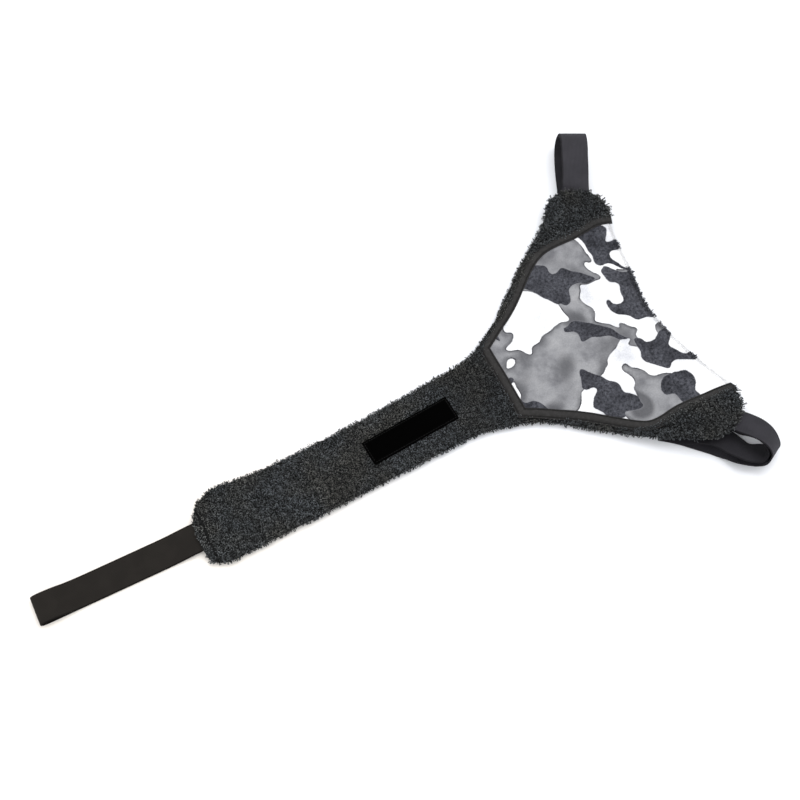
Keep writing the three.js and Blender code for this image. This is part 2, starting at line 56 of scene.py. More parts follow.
OUTLINE = [
    (-172.3, -12), (-170.5, -20.5), (-164, -26.4), (-154, -29.2), (-135, -29.6), (-100, -30), (-50, -30.6), (0, -30.6),
    (45, -30.9), (68, -31.2), (85, -33.6), (101, -38), (118, -43.5), (132, -51.5), (145.5, -62), (158.5, -72.8),
    (171.5, -83.2), (184, -94.6), (197, -104.8), (212, -115.2), (226, -124.2), (237.5, -131), (247, -134.6),
    (256, -134.4), (264, -131.6), (272.1, -126.8), (278.6, -122.1), (283.2, -117.2), (286, -110.4), (287.4, -102.4),
    (286.8, -93.4), (283.6, -84), (279.4, -72), (275.8, -58), (272.4, -44), (269.6, -32), (267.4, -19), (266.4, -8),
    (266, 2), (267, 12), (270, 25), (273.6, 41.5), (275.8, 55), (278, 70), (280.5, 82), (284, 91), (286.9, 99.5),
    (287.2, 107.5), (284, 115.4), (278.6, 122), (268.4, 128.8), (257.5, 133.2), (248.5, 134.8), (240.8, 131.6),
    (233, 124), (222.5, 114.2), (208, 105), (191.5, 94.2), (173.5, 81.3), (157, 68.5), (143, 57), (130, 49),
    (116, 41.8), (104, 37), (92, 34.6), (74, 33.2), (54, 32.2), (30, 31.2), (0, 30.2), (-40, 30), (-80, 30.6),
    (-112, 32.6), (-128, 34.8), (-141, 36.2), (-152, 34.4), (-161, 29.4), (-167.3, 21.5), (-170.8, 13), (-172.3, 3),
]
EDGE_TOP = [
    (303, 76.5), (291, 81), (282.2, 84.2), (275, 86.6), (265, 88), (254, 87.4), (242, 87.2), (224, 88.6), (213, 88.4),
    (204, 85.8), (192, 78.6), (179, 68.6), (166.5, 58.8), (154, 50.4), (140.5, 43), (123.2, 33),
]
EDGE_ARM = [(123.2, 33), (122.8, 20), (122.6, 6), (122, -8), (121.4, -20), (121, -29.2)]
EDGE_BOTTOM = [
    (121, -29.2), (130, -34.4), (145, -44.4), (157, -52.2), (168, -60.4), (184, -74.4), (196, -85.2), (203, -90),
    (211, -91.8), (231.5, -90.6), (251.5, -91.8), (272.4, -92.6), (284.5, -94), (292, -95), (305, -96.8),
]
CORNERS = {
    "left": dict(
        exit=(268.6, 128.5), along=(0.518, 0.855), across=(-0.855, 0.518),
        lift=[(-92, 0), (-66, 1.8), (-40, 5), (-16, 8.2), (60, 8.2)], slope=[(-92, 0), (60, 0)],
        spread=(-48, -14, 16, 52),
    ),
    "right": dict(
        exit=(269.7, -128.1), along=(0.594, -0.805), across=(-0.805, -0.594),
        lift=[(-114, 0), (-98, 0.6), (-80, 2.9), (-62, 5), (-44, 6.4), (-22, 7.7), (60, 7.7)],
        slope=[(-80, 0), (-62, 0.05), (-44, 0.16), (-22, 0.353), (60, 0.353)], spread=(-50, -14, 60, 90),
    ),
}
TAIL_BASE = np.array([-172, 3.4])
TAIL_DIR = np.array([math.cos(math.radians(177.1)), math.sin(math.radians(177.1))])
TAIL_SIDE = np.array([-TAIL_DIR[1], TAIL_DIR[0]])
TAIL_UPPER = [
    (-11.5, 5.02), (-4, 5.02), (3, 4.9), (12, 3.9), (24, 2.5), (45, 2.25), (75, 2.25), (97, 2.5), (109, 3.6),
    (118, 5.7), (126, 7), (132, 7.1),
]
TAIL_FOLD = [(135.9, 6.2), (137.2, 4), (135.9, 1.8)]
TAIL_LOWER = [
    (132, 0.95), (124, 0.64), (110, 0.64), (75, 0.62), (45, 0.62), (24, 0.85), (12, 2.25), (3, 3.25), (-4, 3.37),
    (-11.5, 3.37),
]
LEFT_OUTER = [
    (-11, -12.5, 13.2, -11, 12.5, 13.2), (-4, -12.4, 13.2, -4, 12.4, 13.2), (0.8, -12.4, 13.1, 0.5, 12.4, 13.3),
    (6.6, -12.1, 13.3, 4.9, 12.3, 17.5), (15.1, -11.8, 15.6, 12.4, 12.4, 21.1), (23.3, -11.4, 18.5, 20.5, 12.9, 23.8),
    (31.4, -10.8, 21.3, 28.9, 13.6, 26), (39.6, -10.5, 23.6, 37.5, 14, 27.8), (48.1, -9.9, 24.1, 46.2, 14.7, 27.7),
    (55.8, -9.2, 20.8, 53.3, 15.6, 23.1), (58.6, -8.1, 12.8, 55.7, 16.6, 15.2), (55.2, -7.5, 4.9, 53.7, 17.4, 7),
    (47.9, -7.5, 1.5, 47.1, 17.5, 2.1), (39.4, -7.7, 0.6, 38.5, 17.3, 0.6), (31, -8, 0.7, 29.7, 17, 0.6),
    (22.6, -8.5, 0.6, 20.9, 16.4, 0.6), (14.2, -9.3, 0.6, 12.2, 15.6, 0.7), (5.7, -10.1, 0.6, 3.6, 14.7, 0.7),
    (-2.9, -10.8, 0.6, -5, 14.1, 0.6),
]
RIGHT_OUTER = [
    (-11, -11.6, 8.6, -11, 11.6, 16.8), (-1.9, -11.4, 8.6, -2.2, 11.6, 16.8), (8.1, -11, 10.4, 4.6, 12.4, 18.5),
    (17.5, -9.4, 12.5, 11.5, 13.3, 21.3), (26.3, -6.3, 12.8, 18.9, 14.9, 24), (33.6, -1.6, 10.5, 26.8, 17.5, 25.1),
    (38.4, 3.8, 6.1, 33.2, 22.2, 22.2), (35.2, 8, 1.5, 32.8, 28.2, 15.4), (27.1, 7.7, 0.6, 26.9, 30.9, 9.8),
    (18.9, 10.6, 0.7, 18.3, 33.8, 10), (11.3, 11.2, 0.8, 10.1, 34.9, 8.4), (2.4, 9, 1.2, 2.3, 33.7, 4.6),
    (-7.2, 8, 1, -5.2, 33, 1.2), (-15.9, 8.4, 0.6, -13.4, 33.3, 0.9), (-24.6, 9.4, 0.6, -21.6, 34.3, 1.2),
    (-33.2, 10.6, 0.6, -29.8, 35.3, 1.7), (-41.8, 11.8, 0.6, -38.1, 36.5, 2.2), (-50.4, 13.3, 0.6, -46.2, 37.9, 1.9),
    (-58.8, 14.8, 0.6, -54.4, 39.5, 0.6),
]
RIGHT_INNER = [
    (-10.9, -11.1, 7, -11, 12.3, 15.2), (-1.7, -10.9, 7, -2.2, 12.3, 15.2), (7.6, -10.6, 8.6, 4.5, 13, 16),
    (16.6, -9.1, 10.2, 10.6, 13.2, 19.7), (25.1, -6.2, 10.6, 17.3, 14.2, 22.7), (32.6, -2.1, 9.7, 24.5, 17.1, 23.5),
    (37.1, 2.8, 5.8, 30.3, 21.8, 20.6), (31.4, 4.7, 2.1, 30.7, 26.7, 13.9), (22.8, 7.8, 2.1, 23.7, 30.3, 13.2),
    (15.4, 11.2, 2.1, 15.3, 32.6, 15.2), (8, 9.8, 2.6, 7.4, 32.1, 13.9), (-1, 7.2, 3.3, -0.1, 30.8, 11.6),
    (-10, 6.3, 2.9, -7.7, 29.7, 11.5), (-18.3, 7.5, 2.2, -15.7, 30.2, 12.4), (-26.5, 8.7, 2.2, -23.3, 32.1, 10.3),
    (-34.7, 10.1, 2.2, -30.4, 34.3, 6.5), (-42.7, 11.7, 2.2, -38.1, 36.2, 4.1), (-50.6, 13.2, 2.3, -46.3, 37.8, 3.5),
    (-59, 14.8, 2.3, -54.6, 39.4, 2.3),
]
PLY_STEP = 1.65
WEB_THICK = 1.2
TAPE_WIDTH = 9.5
TAPE_SEAM = 4.6
GROOVE_X = -163.0
FUZZ = 1.7  # how far the pile stands past the cloth's own edge


# ------------------------------------------------------------------ plane geometry
def smooth(t):
    t = np.clip(t, 0, 1)
    return t * t * (3 - 2 * t)


def spline(points, closed, per, uniform=False):
    """A Catmull-Rom curve through points of any dimension, centripetal unless uniform, `per` steps a segment."""
    p = np.array(points, float)
    n = len(p)
    out = []
    for i in range(n if closed else n - 1):
        if closed:
            a, b, c, d = p[(i - 1) % n], p[i], p[(i + 1) % n], p[(i + 2) % n]
        else:
            b, c = p[i], p[i + 1]
            a = p[i - 1] if i else 2 * b - c
            d = p[i + 2] if i + 2 < n else 2 * c - b
        if uniform:
            m1, m2 = (c - a) / 2, (d - b) / 2
        else:
            t0, t1, t2 = (max(1e-4, np.linalg.norm(v) ** 0.5) for v in (b - a, c - b, d - c))
            m1 = ((b - a) / t0 - (c - a) / (t0 + t1) + (c - b) / t1) * t1
            m2 = ((c - b) / t1 - (d - b) / (t1 + t2) + (d - c) / t2) * t1
        for k in range(per):
            t = k / per
            out.append((2 * t**3 - 3 * t**2 + 1) * b + (t**3 - 2 * t**2 + t) * m1 + (3 * t**2 - 2 * t**3) * c + (t**3 - t**2) * m2)
    if not closed:
        out.append(p[-1])
    return np.array(out)


def distance(points, line, closed):
    """The distance of each point from a line."""
    points = np.asarray(points, float)
    a = line if closed else line[:-1]
    b = np.roll(line, -1, 0) if closed else line[1:]
    u = b - a
    uu = np.maximum((u**2).sum(1), 1e-12)
    best = np.empty(len(points))
    for i in range(0, len(points), 2000):
        q = points[i : i + 2000, None, :] - a[None]
        t = np.clip((q * u[None]).sum(2) / uu[None], 0, 1)
        best[i : i + 2000] = np.sqrt(((q - t[..., None] * u[None]) ** 2).sum(2).min(1))
    return best


def inside(points, polygon):
    """Which points are inside a closed polygon."""
    points = np.asarray(points, float)
    x, y = points[:, 0], points[:, 1]
    found = np.zeros(len(points), bool)
    for (x0, y0), (x1, y1) in zip(polygon, np.roll(polygon, -1, 0)):
        if y0 == y1:
            continue
        crosses = ((y0 > y) != (y1 > y)) & (x < (x1 - x0) * (y - y0) / (y1 - y0) + x0)
        found ^= crosses
    return found


def signed(points, polygon):
    """Distance from a closed polygon's edge, positive inside."""
    d = distance(points, polygon, True)
    return np.where(inside(points, polygon), d, -d)


def mitres(line, closed):
    """For each point of a line the vector to its left that moves it to the line's parallel at distance 1."""
    before = np.roll(line, 1, 0) if closed else np.vstack([2 * line[0] - line[1], line[:-1]])
    after = np.roll(line, -1, 0) if closed else np.vstack([line[1:], 2 * line[-1] - line[-2]])
    u, v = line - before, after - line
    u /= np.maximum(np.linalg.norm(u, axis=1), 1e-9)[:, None]
    v /= np.maximum(np.linalg.norm(v, axis=1), 1e-9)[:, None]
    nu, nv = np.stack([-u[:, 1], u[:, 0]], 1), np.stack([-v[:, 1], v[:, 0]], 1)
    return (nu + nv) / (1 + (nu * nv).sum(1))[:, None]


def offset(line, d, closed):
    moved = line + mitres(line, closed) * d
    return moved[distance(moved, line, closed) > abs(d) * 0.985]


def resample(line, step, closed=False):
    """Points `step` apart along a line of any dimension."""
    p = np.vstack([line, line[:1]]) if closed else np.asarray(line, float)
    s = np.concatenate([[0], np.cumsum(np.linalg.norm(np.diff(p, axis=0), axis=1))])
    n = max(2, int(round(s[-1] / step)))
    at = np.linspace(0, s[-1], n + 1)[: n if closed else n + 1]
    return np.stack([np.interp(at, s, p[:, k]) for k in range(p.shape[1])], 1)


rng = np.random.default_rng(7)


def waves(seed, length, count=10):
    """A smooth field that wanders between about -1 and 1, with hills about `length` mm across."""
    r = np.random.default_rng(seed)
    angle, phase = r.random(count) * 2 * math.pi, r.random(count) * 2 * math.pi
    k = math.pi / length * (0.7 + 0.6 * r.random(count))

    def field(x, y):
        x, y = np.asarray(x, float), np.asarray(y, float)
        s = sum(np.sin(k[i] * (x * math.cos(angle[i]) + y * math.sin(angle[i])) + phase[i]) for i in range(count))
        return s / math.sqrt(count) * 0.8

    return field


outline = spline(OUTLINE, True, 4)
edge = np.vstack([spline(EDGE_TOP, False, 4), spline(EDGE_ARM, False, 2)[1:], spline(EDGE_BOTTOM, False, 4)[1:]])
cloth_edge = resample(offset(outline, FUZZ, True), 1.6, True)
seam = resample(offset(edge, -TAPE_SEAM, False), 1.6)


def panel_region(d):
    line = offset(edge, -d, False) if d else edge
    return np.vstack([line, [(330, -100), (330, 80)]])


def local(corner, x, y):
    dx, dy = x - corner["exit"][0], y - corner["exit"][1]
    return dx * corner["along"][0] + dy * corner["along"][1], dx * corner["across"][0] + dy * corner["across"][1]


def lift(x, y):
    """How far the cloth's underside is above the table."""
    x, y = np.asarray(x, float), np.asarray(y, float)
    h = np.zeros(np.broadcast(x, y).shape)
    for c in CORNERS.values():
        a, b = local(c, x, y)
        bs = np.where(b > 13, 13 + 4 * (1 - np.exp(-np.maximum(b - 13, 0) / 4)), np.maximum(b, -16))
        s0, s1, s2, s3 = c["spread"]
        side = np.where(b < s1, smooth((b - s0) / (s1 - s0)), np.where(b > s2, smooth((s3 - b) / (s3 - s2)), 1))
        la, lv = zip(*c["lift"])
        sa, sv = zip(*c["slope"])
        h = np.maximum(h, (np.interp(a, la, lv) + np.interp(a, sa, sv) * bs) * side)
    return h


def mouth(x, y):
    """1 where a loop's sewn end holds the layers apart, 0 away from it."""
    m = np.zeros(np.shape(x))
    frames = [(TAIL_BASE, TAIL_DIR, TAIL_SIDE)] + [(c["exit"], c["along"], c["across"]) for c in CORNERS.values()]
    for e, d, s in frames:
        a = (x - e[0]) * d[0] + (y - e[1]) * d[1]
        b = (x - e[0]) * s[0] + (y - e[1]) * s[1]
        m = np.maximum(m, smooth((a + 20) / 5) * smooth((18.5 - np.abs(b)) / 5))
    return m


def roll(d, radius):
    return np.sqrt(np.maximum(0, 1 - (1 - np.clip(d / radius, 0, 1)) ** 2))


hills = waves(3, 22)
ripple = waves(4, 9)
print_hills = waves(5, 34)


def groove_line(y):
    """Where the pile parts over the row of stitches that closes the tail."""
    return GROOVE_X + 0.7 * np.sin(np.asarray(y) / 9.0 + 0.6) + 0.3 * np.sin(np.asarray(y) / 3.1)


CREASE = spline(np.array([(194, -97.5), (203, -99), (212, -101.5), (224, -108), (236, -115), (246, -121.5)]), False, 4)


def heights(xy):
    """The cloth's surfaces at points of the pattern, as heights above the table."""
    x, y = xy[:, 0], xy[:, 1]
    d = distance(xy, cloth_edge, True)
    d = np.where(inside(xy, cloth_edge), d, 0)
    ds = distance(xy, seam, False)
    base, m, s = lift(x, y), mouth(x, y), smooth(d / 3)
    bump = 0.28 * hills(x, y) + 0.16 * ripple(x, y)
    top = 4.15 + (6.25 + bump - 4.15) * roll(d, 7.5)
    top = np.minimum(top, 5.6 + (6.4 - 5.6) * smooth((ds - 5.0) / 3.0) + np.maximum(0, ds - 5.0) * 0.4)
    groove = np.exp(-(((x - groove_line(y)) / 1.5) ** 2)) * (x < -150) * (np.abs(y) < 26)
    top = top - 1.6 * groove * smooth(d / 3)
    top = top - 1.3 * np.exp(-((distance(xy, CREASE, False) / 2.0) ** 2)) * smooth(d / 3)
    out = {
        "upper_top": base + np.maximum(top, 4.15 + 2.4 * m),
        "upper_low": base + (4.05 + 0.35 * s) * (1 - m) + 5.85 * m,
        "under_top": base + (3.95 - 0.45 * s) * (1 - m) + 2.55 * m,
        "under_low": base + np.minimum(3.85 - (3.85 - 1.75 - 0.1 * ripple(x, y)) * roll(d, 7.5), 3.85 - 2.3 * m),
        "film_top": base + 4.18,
        "film_low": base + 3.82,
        "d": d,
        "ds": ds,
        "m": m,
    }
    crown = smooth((ds - 5) / 16) * smooth(d / 14)
    out["panel_top"] = base + 4.2 + (6.3 - 4.2) * roll(d, 4.5) + crown * (0.7 + 0.45 * print_hills(x, y) + 0.12 * ripple(x, y))
    out["panel_low"] = base + 4.05 + 0.35 * s
    return out


# ------------------------------------------------------------------ meshes
def make(name, points, faces, material, smooth_faces=True, attributes=None, replaces=()):
    """A mesh piece from points in pattern millimetres and an array of triangles or quads (or a list of both)."""
    co = (np.asarray(points, float) + SHIFT) * 1e-3
    groups = faces if isinstance(faces, list) else [faces]
    loops = np.concatenate([np.asarray(g, np.int32).ravel() for g in groups])
    starts, at = [], 0
    for g in groups:
        n, k = len(g), np.shape(g)[1]
        starts.append(at + np.arange(n, dtype=np.int32) * k)
        at += n * k
    me = bpy.data.meshes.new(name)
    me.vertices.add(len(co))
    me.vertices.foreach_set("co", co.astype(np.float32).ravel())
    me.loops.add(len(loops))
    me.loops.foreach_set("vertex_index", loops)
    starts = np.concatenate(starts).astype(np.int32)
    me.polygons.add(len(starts))
    me.polygons.foreach_set("loop_start", starts)
    me.update(calc_edges=True)
    me.polygons.foreach_set("use_smooth", np.full(len(starts), smooth_faces))
    for key, values in (attributes or {}).items():
        me.attributes.new(key, "FLOAT", "POINT").data.foreach_set("value", np.asarray(values, np.float32))
    me.materials.append(material)
    me.update()
    obj = bpy.data.objects.new(name, me)
    bpy.context.scene.collection.objects.link(obj)
    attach(obj, "root")
    if replaces:
        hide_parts(*replaces)
    return obj


def hexgrid(x0, x1, y0, y1, step):
    rows = []
    for j, y in enumerate(np.arange(y0, y1, step * 0.866)):
        x = np.arange(x0 + (j % 2) * step / 2, x1, step)
        rows.append(np.stack([x, np.full(len(x), y)], 1))
    return np.vstack(rows)


def triangulate(points, chains):
    """Constrained triangles over points and chains of points (array, closed)."""
    verts, edges = [], []
    for chain, closed in chains:
        n, first = len(chain), len(verts)
        verts.extend(map(tuple, chain))
        edges.extend((first + i, first + (i + 1) % n) for i in range(n if closed else n - 1))
    verts.extend(map(tuple, points))
    made = geometry.delaunay_2d_cdt([Vector(v) for v in verts], edges, [], 0, 1e-4)
    return np.array([tuple(v) for v in made[0]]), np.array(made[2], np.int64)


def slab(points, tris, top, low):
    """A closed sheet between two heights over the same triangles."""
    used = np.unique(tris)
    number = np.full(len(points), -1)
    number[used] = np.arange(len(used))
    t = number[tris]
    p, n = points[used], len(used)
    area = np.cross(p[t[:, 1]] - p[t[:, 0]], p[t[:, 2]] - p[t[:, 0]])
    t = np.where((area < 0)[:, None], t[:, ::-1], t)
    e = np.vstack([t[:, [0, 1]], t[:, [1, 2]], t[:, [2, 0]]])
    key = {}
    for a, b in e:
        key[(a, b)] = True
    rim = np.array([(a, b) for a, b in key if (b, a) not in key])
    walls = np.stack([rim[:, 0] + n, rim[:, 1] + n, rim[:, 1], rim[:, 0]], 1)
    co = np.vstack([np.column_stack([p, top[used]]), np.column_stack([p, low[used]])])
    return co, [t, t[:, ::-1] + n, walls], used


# ------------------------------------------------------------------ materials
def material(name, roughness, specular=0.2, sheen=0.0, sheen_roughness=0.5, sheen_tint=(1, 1, 1)):
    m = bpy.data.materials.new(name)
    m.use_nodes = True
    nodes, links = m.node_tree.nodes, m.node_tree.links
    bsdf = nodes["Principled BSDF"]
    bsdf.inputs["Roughness"].default_value = roughness
    bsdf.inputs["Specular IOR Level"].default_value = specular
    bsdf.inputs["Sheen Weight"].default_value = sheen
    bsdf.inputs["Sheen Roughness"].default_value = sheen_roughness
    bsdf.inputs["Sheen Tint"].default_value = (*sheen_tint, 1)
    return m, nodes, links, bsdf


class Graph:
    """Short words for a material's nodes."""

    def __init__(self, nodes, links):
        self.nodes, self.links = nodes, links

    def put(self, socket, value):
        if hasattr(value, "is_linked"):
            self.links.new(value, socket)
        elif isinstance(value, tuple) and len(value) == 3 and socket.type == "RGBA":
            socket.default_value = (*value, 1)
        else:
            socket.default_value = value

    def math(self, op, a, b=0.0, c=0.0, clamp=False):
        n = self.nodes.new("ShaderNodeMath")
        n.operation, n.use_clamp = op, clamp
        for s, v in zip(n.inputs, (a, b, c)):
            self.put(s, v)
        return n.outputs[0]

    def attribute(self, name):
        n = self.nodes.new("ShaderNodeAttribute")
        n.attribute_name = name
        return n.outputs["Fac"]

    def object(self):
        return self.nodes.new("ShaderNodeTexCoord").outputs["Object"]

    def scaled(self, scale, vector=None, turn=0.0):
        n = self.nodes.new("ShaderNodeMapping")
        self.put(n.inputs["Vector"], vector or self.object())
        n.inputs["Scale"].default_value = scale
        n.inputs["Rotation"].default_value = (0, 0, turn)
        return n.outputs[0]

    def noise(self, scale, detail=2.0, roughness=0.5, vector=None):
        n = self.nodes.new("ShaderNodeTexNoise")
        self.put(n.inputs["Vector"], vector or self.object())
        n.inputs["Scale"].default_value = scale
        n.inputs["Detail"].default_value = detail
        n.inputs["Roughness"].default_value = roughness
        return n.outputs["Fac"]

    def range(self, value, a, b, c=0.0, d=1.0, kind="SMOOTHSTEP"):
        n = self.nodes.new("ShaderNodeMapRange")
        n.interpolation_type = kind
        self.put(n.inputs["Value"], value)
        for k, v in zip(("From Min", "From Max", "To Min", "To Max"), (a, b, c, d)):
            self.put(n.inputs[k], v)
        return n.outputs[0]

    def mix(self, fac, a, b, blend="MIX"):
        n = self.nodes.new("ShaderNodeMix")
        n.data_type, n.blend_type = "RGBA", blend
        self.put(n.inputs[0], fac)
        self.put(n.inputs[6], a)
        self.put(n.inputs[7], b)
        return n.outputs[2]

    def ramp(self, fac, *stops):
        n = self.nodes.new("ShaderNodeValToRGB")
        e = n.color_ramp.elements
        while len(e) < len(stops):
            e.new(0.5)
        for k, (at, colour) in zip(e, stops):
            k.position, k.color = at, (*colour, 1)
        self.put(n.inputs[0], fac)
        return n.outputs[0]

    def bump(self, height, strength, mm, bsdf):
        n = self.nodes.new("ShaderNodeBump")
        n.inputs["Strength"].default_value = strength
        n.inputs["Distance"].default_value = mm / 1000
        self.put(n.inputs["Height"], height)
        self.links.new(n.outputs[0], bsdf.inputs["Normal"])


def terry_material(name, lit):
    m, nodes, links, bsdf = material(name, 0.95, 0.06, 0.12, 0.5, (0.9, 0.93, 0.95))
    g = Graph(nodes, links)
    shade = g.attribute("shade")
    # The ramp paints each loop near black at its roots, painted shade where the loops meet the ground, and light at its
    # top, painted light; 'shade' also carries each loop's own random tone.
    tone = g.ramp(shade, (0.0, (0.006, 0.0062, 0.0062)), (0.5, (0.03 * lit, 0.0313 * lit, 0.0316 * lit)), (1.0, (0.175 * lit, 0.182 * lit, 0.184 * lit)))
    drift = g.range(g.noise(26, 3), 0.35, 0.65)
    warm = g.mix(drift, (1.03, 0.985, 0.9), (0.93, 0.995, 1.07))
    patch = g.range(g.noise(60, 2), 0.3, 0.7, 0.8, 1.16)
    axes = nodes.new("ShaderNodeSeparateXYZ")
    links.new(g.object(), axes.inputs[0])
    patch = g.math("MULTIPLY", patch, g.range(axes.outputs[0], 0.02, 0.12, 1.28, 0.9))
    colour = g.mix(1.0, tone, warm, "MULTIPLY")
    grey = nodes.new("ShaderNodeCombineColor")
    for k in range(3):
        g.put(grey.inputs[k], patch)
    g.put(bsdf.inputs["Base Color"], g.mix(1.0, colour, grey.outputs[0], "MULTIPLY"))
    g.bump(g.noise(1600, 2), 0.4, 0.3, bsdf)
    return m


def ground_material():
    m, nodes, links, bsdf = material("terry_ground", 1.0, 0.02)
    g = Graph(nodes, links)
    # The near-black ground is the cloth's own charcoal colour and also painted shade in the gaps between the pile
    # loops.
    g.put(bsdf.inputs["Base Color"], g.ramp(g.noise(700, 3), (0.35, (0.005, 0.0052, 0.0052)), (0.7, (0.018, 0.0188, 0.0188))))
    g.bump(g.noise(650, 3), 0.8, 1.0, bsdf)
    return m


def print_material():
    m, nodes, links, bsdf = material("printed_pile", 0.9, 0.08, 0.06, 0.4)
    g = Graph(nodes, links)
    wander = g.math("MULTIPLY", g.math("SUBTRACT", g.noise(90, 2), 0.5), 2.2)
    nibble = g.math("MULTIPLY", g.math("SUBTRACT", g.noise(700, 3, 0.6), 0.5), 1.0)
    stray = g.math("ADD", wander, nibble)
    grey_d = g.math("ADD", g.attribute("grey"), stray)
    dark_d = g.math("ADD", g.attribute("dark"), stray)
    grain = g.noise(900, 3, 0.7)
    grey = g.ramp(g.noise(48, 3, 0.6), (0.3, (0.135, 0.137, 0.149)), (0.5, (0.245, 0.248, 0.262)), (0.72, (0.32, 0.322, 0.335)))
    dark = g.ramp(g.noise(420, 4, 0.75), (0.34, (0.016, 0.0166, 0.0203)), (0.66, (0.088, 0.091, 0.107)))
    dark = g.mix(g.range(g.noise(55, 2), 0.38, 0.66), dark, g.mix(1.0, dark, (0.62, 0.62, 0.63), "MULTIPLY"))
    white = g.ramp(g.noise(34, 3), (0.3, (0.58, 0.592, 0.63)), (0.56, (0.84, 0.845, 0.86)))
    colour = g.mix(g.math("MULTIPLY", g.range(g.attribute("spot"), -0.2, 1.05), 0.9), grey, (0.085, 0.086, 0.094))
    rim = g.math("MULTIPLY", g.range(grey_d, 5.0, 0.0), g.range(g.noise(70, 2), 0.35, 0.65, 0.1, 0.85))
    colour = g.mix(rim, colour, (0.1, 0.102, 0.11))
    colour = g.mix(g.range(grey_d, -0.25, 0.25), white, colour)
    line = g.math("MULTIPLY", g.range(g.math("ABSOLUTE", grey_d), 0.8, 0.25), g.range(g.noise(110, 2), 0.3, 0.6, 0.45, 1.0))
    colour = g.mix(line, colour, (0.04, 0.04, 0.046))
    halo = g.math("MULTIPLY", g.range(dark_d, -1.8, 0.0), 0.28)
    colour = g.mix(halo, colour, (0.2, 0.2, 0.22))
    colour = g.mix(g.range(dark_d, -0.25, 0.25), colour, dark)
    fleck = g.range(grain, 0.2, 0.8, 0.84, 1.1)
    grey3 = nodes.new("ShaderNodeCombineColor")
    for k in range(3):
        g.put(grey3.inputs[k], fleck)
    colour = g.mix(1.0, colour, grey3.outputs[0], "MULTIPLY")
    # The fringe is painted lighter towards its tips, painted light against the shade among its dense strands.
    lit_tip = g.mix(1.0, colour, (1.75, 1.75, 1.75), "MULTIPLY")
    lit_tip.node.clamp_result = True
    g.put(bsdf.inputs["Base Color"], g.mix(g.attribute("tip"), colour, lit_tip))
    brushed = g.noise(420, 4, 0.65, g.scaled((1.0, 2.6, 1.0), turn=0.5))
    g.bump(g.math("ADD", brushed, g.math("MULTIPLY", grain, 0.5)), 0.55, 0.5, bsdf)
    return m


def webbing_material(name, colour, sheen):
    m, nodes, links, bsdf = material(name, 0.7, 0.09, sheen, 0.35, (0.95, 0.94, 1.0))
    g = Graph(nodes, links)
    across, run = g.attribute("across"), g.attribute("run")
    rib = g.math("SINE", g.math("MULTIPLY", across, 2 * math.pi / 1.25))
    stitch = g.math("SINE", g.math("MULTIPLY", g.math("ADD", run, g.math("MULTIPLY", rib, 0.25)), 2 * math.pi / 1.0))
    height = g.math("ADD", g.math("MULTIPLY", rib, 0.5), g.math("MULTIPLY", stitch, 0.22))
    # The rib grooves are painted darker and the crests lighter: painted shade and painted light following the ribs'
    # height.
    tone = g.range(height, -0.7, 0.7, 0.72, 1.12, "LINEAR")
    edge_dark = g.range(g.math("ABSOLUTE", across), 11.4, 12.1, 1.0, 0.55)
    tone = g.math("MULTIPLY", g.math("MULTIPLY", tone, edge_dark), g.range(g.noise(90, 3), 0.3, 0.7, 0.9, 1.08))
    # Stations marked 'back' are painted darker: painted shade on the inside of the loop.
    tone = g.math("MULTIPLY", tone, g.range(g.attribute("back"), 0.2, 1.0, 1.0, 0.68))
    grey = nodes.new("ShaderNodeCombineColor")
    for k in range(3):
        g.put(grey.inputs[k], tone)
    g.put(bsdf.inputs["Base Color"], g.mix(1.0, colour, grey.outputs[0], "MULTIPLY"))
    g.bump(height, 0.5, 0.25, bsdf)
    return m


def tape_material():
    m, nodes, links, bsdf = material("tape_weave", 0.85, 0.07, 0.04, 0.4)
    g = Graph(nodes, links)
    run, across = g.attribute("run"), g.attribute("across")
    a = g.math("SINE", g.math("MULTIPLY", g.math("ADD", run, across), 2 * math.pi / 0.9))
    b = g.math("SINE", g.math("MULTIPLY", g.math("SUBTRACT", run, across), 2 * math.pi / 0.9))
    weave = g.math("MULTIPLY", a, b)
    tone = g.range(weave, -1.0, 1.0, 0.0, 1.0, "LINEAR")
    base = g.mix(tone, (0.017, 0.0163, 0.0161), (0.0365, 0.0352, 0.0348))
    base = g.mix(g.math("MULTIPLY", g.range(g.noise(420, 3), 0.4, 0.75), 0.6), base, (0.05, 0.049, 0.049))
    # A lighter band along the tape's crown is a painted highlight.
    middle = g.range(g.math("ABSOLUTE", g.math("ADD", across, 0.35)), 1.9, 0.7)
    base = g.mix(g.math("MULTIPLY", middle, 0.4), base, (0.036, 0.0352, 0.035))
    # The two stitch grooves are painted near black: painted shade in the grooves.
    from_grooves = g.math("MINIMUM", g.math("ABSOLUTE", g.math("SUBTRACT", across, 3.0)), g.math("ABSOLUTE", g.math("ADD", across, 3.35)))
    base = g.mix(g.math("MULTIPLY", g.range(from_grooves, 0.95, 0.3), 0.6), base, (0.008, 0.008, 0.008))
    g.put(bsdf.inputs["Base Color"], base)
    g.bump(g.math("ADD", weave, g.noise(300, 3)), 0.45, 0.25, bsdf)
    return m


def plain_material(name, colour, roughness, specular, scale, lighter=1.6, sheen=0.0):
    m, nodes, links, bsdf = material(name, roughness, specular, sheen)
    g = Graph(nodes, links)
    n = g.noise(scale, 3)
    g.put(bsdf.inputs["Base Color"], g.ramp(n, (0.3, colour), (0.75, tuple(c * lighter for c in colour))))
    g.bump(g.noise(scale * 3, 2), 0.3, 0.15, bsdf)
    return m


TERRY = terry_material("terry_pile", 1.0)
GROUND = ground_material()
PRINT = print_material()
TAPE = tape_material()
WEB_TAIL = webbing_material("webbing_tail", (0.015, 0.0129, 0.0111), 0.02)
WEB_HEAD = webbing_material("webbing_head", (0.0355, 0.0345, 0.0405), 0.04)
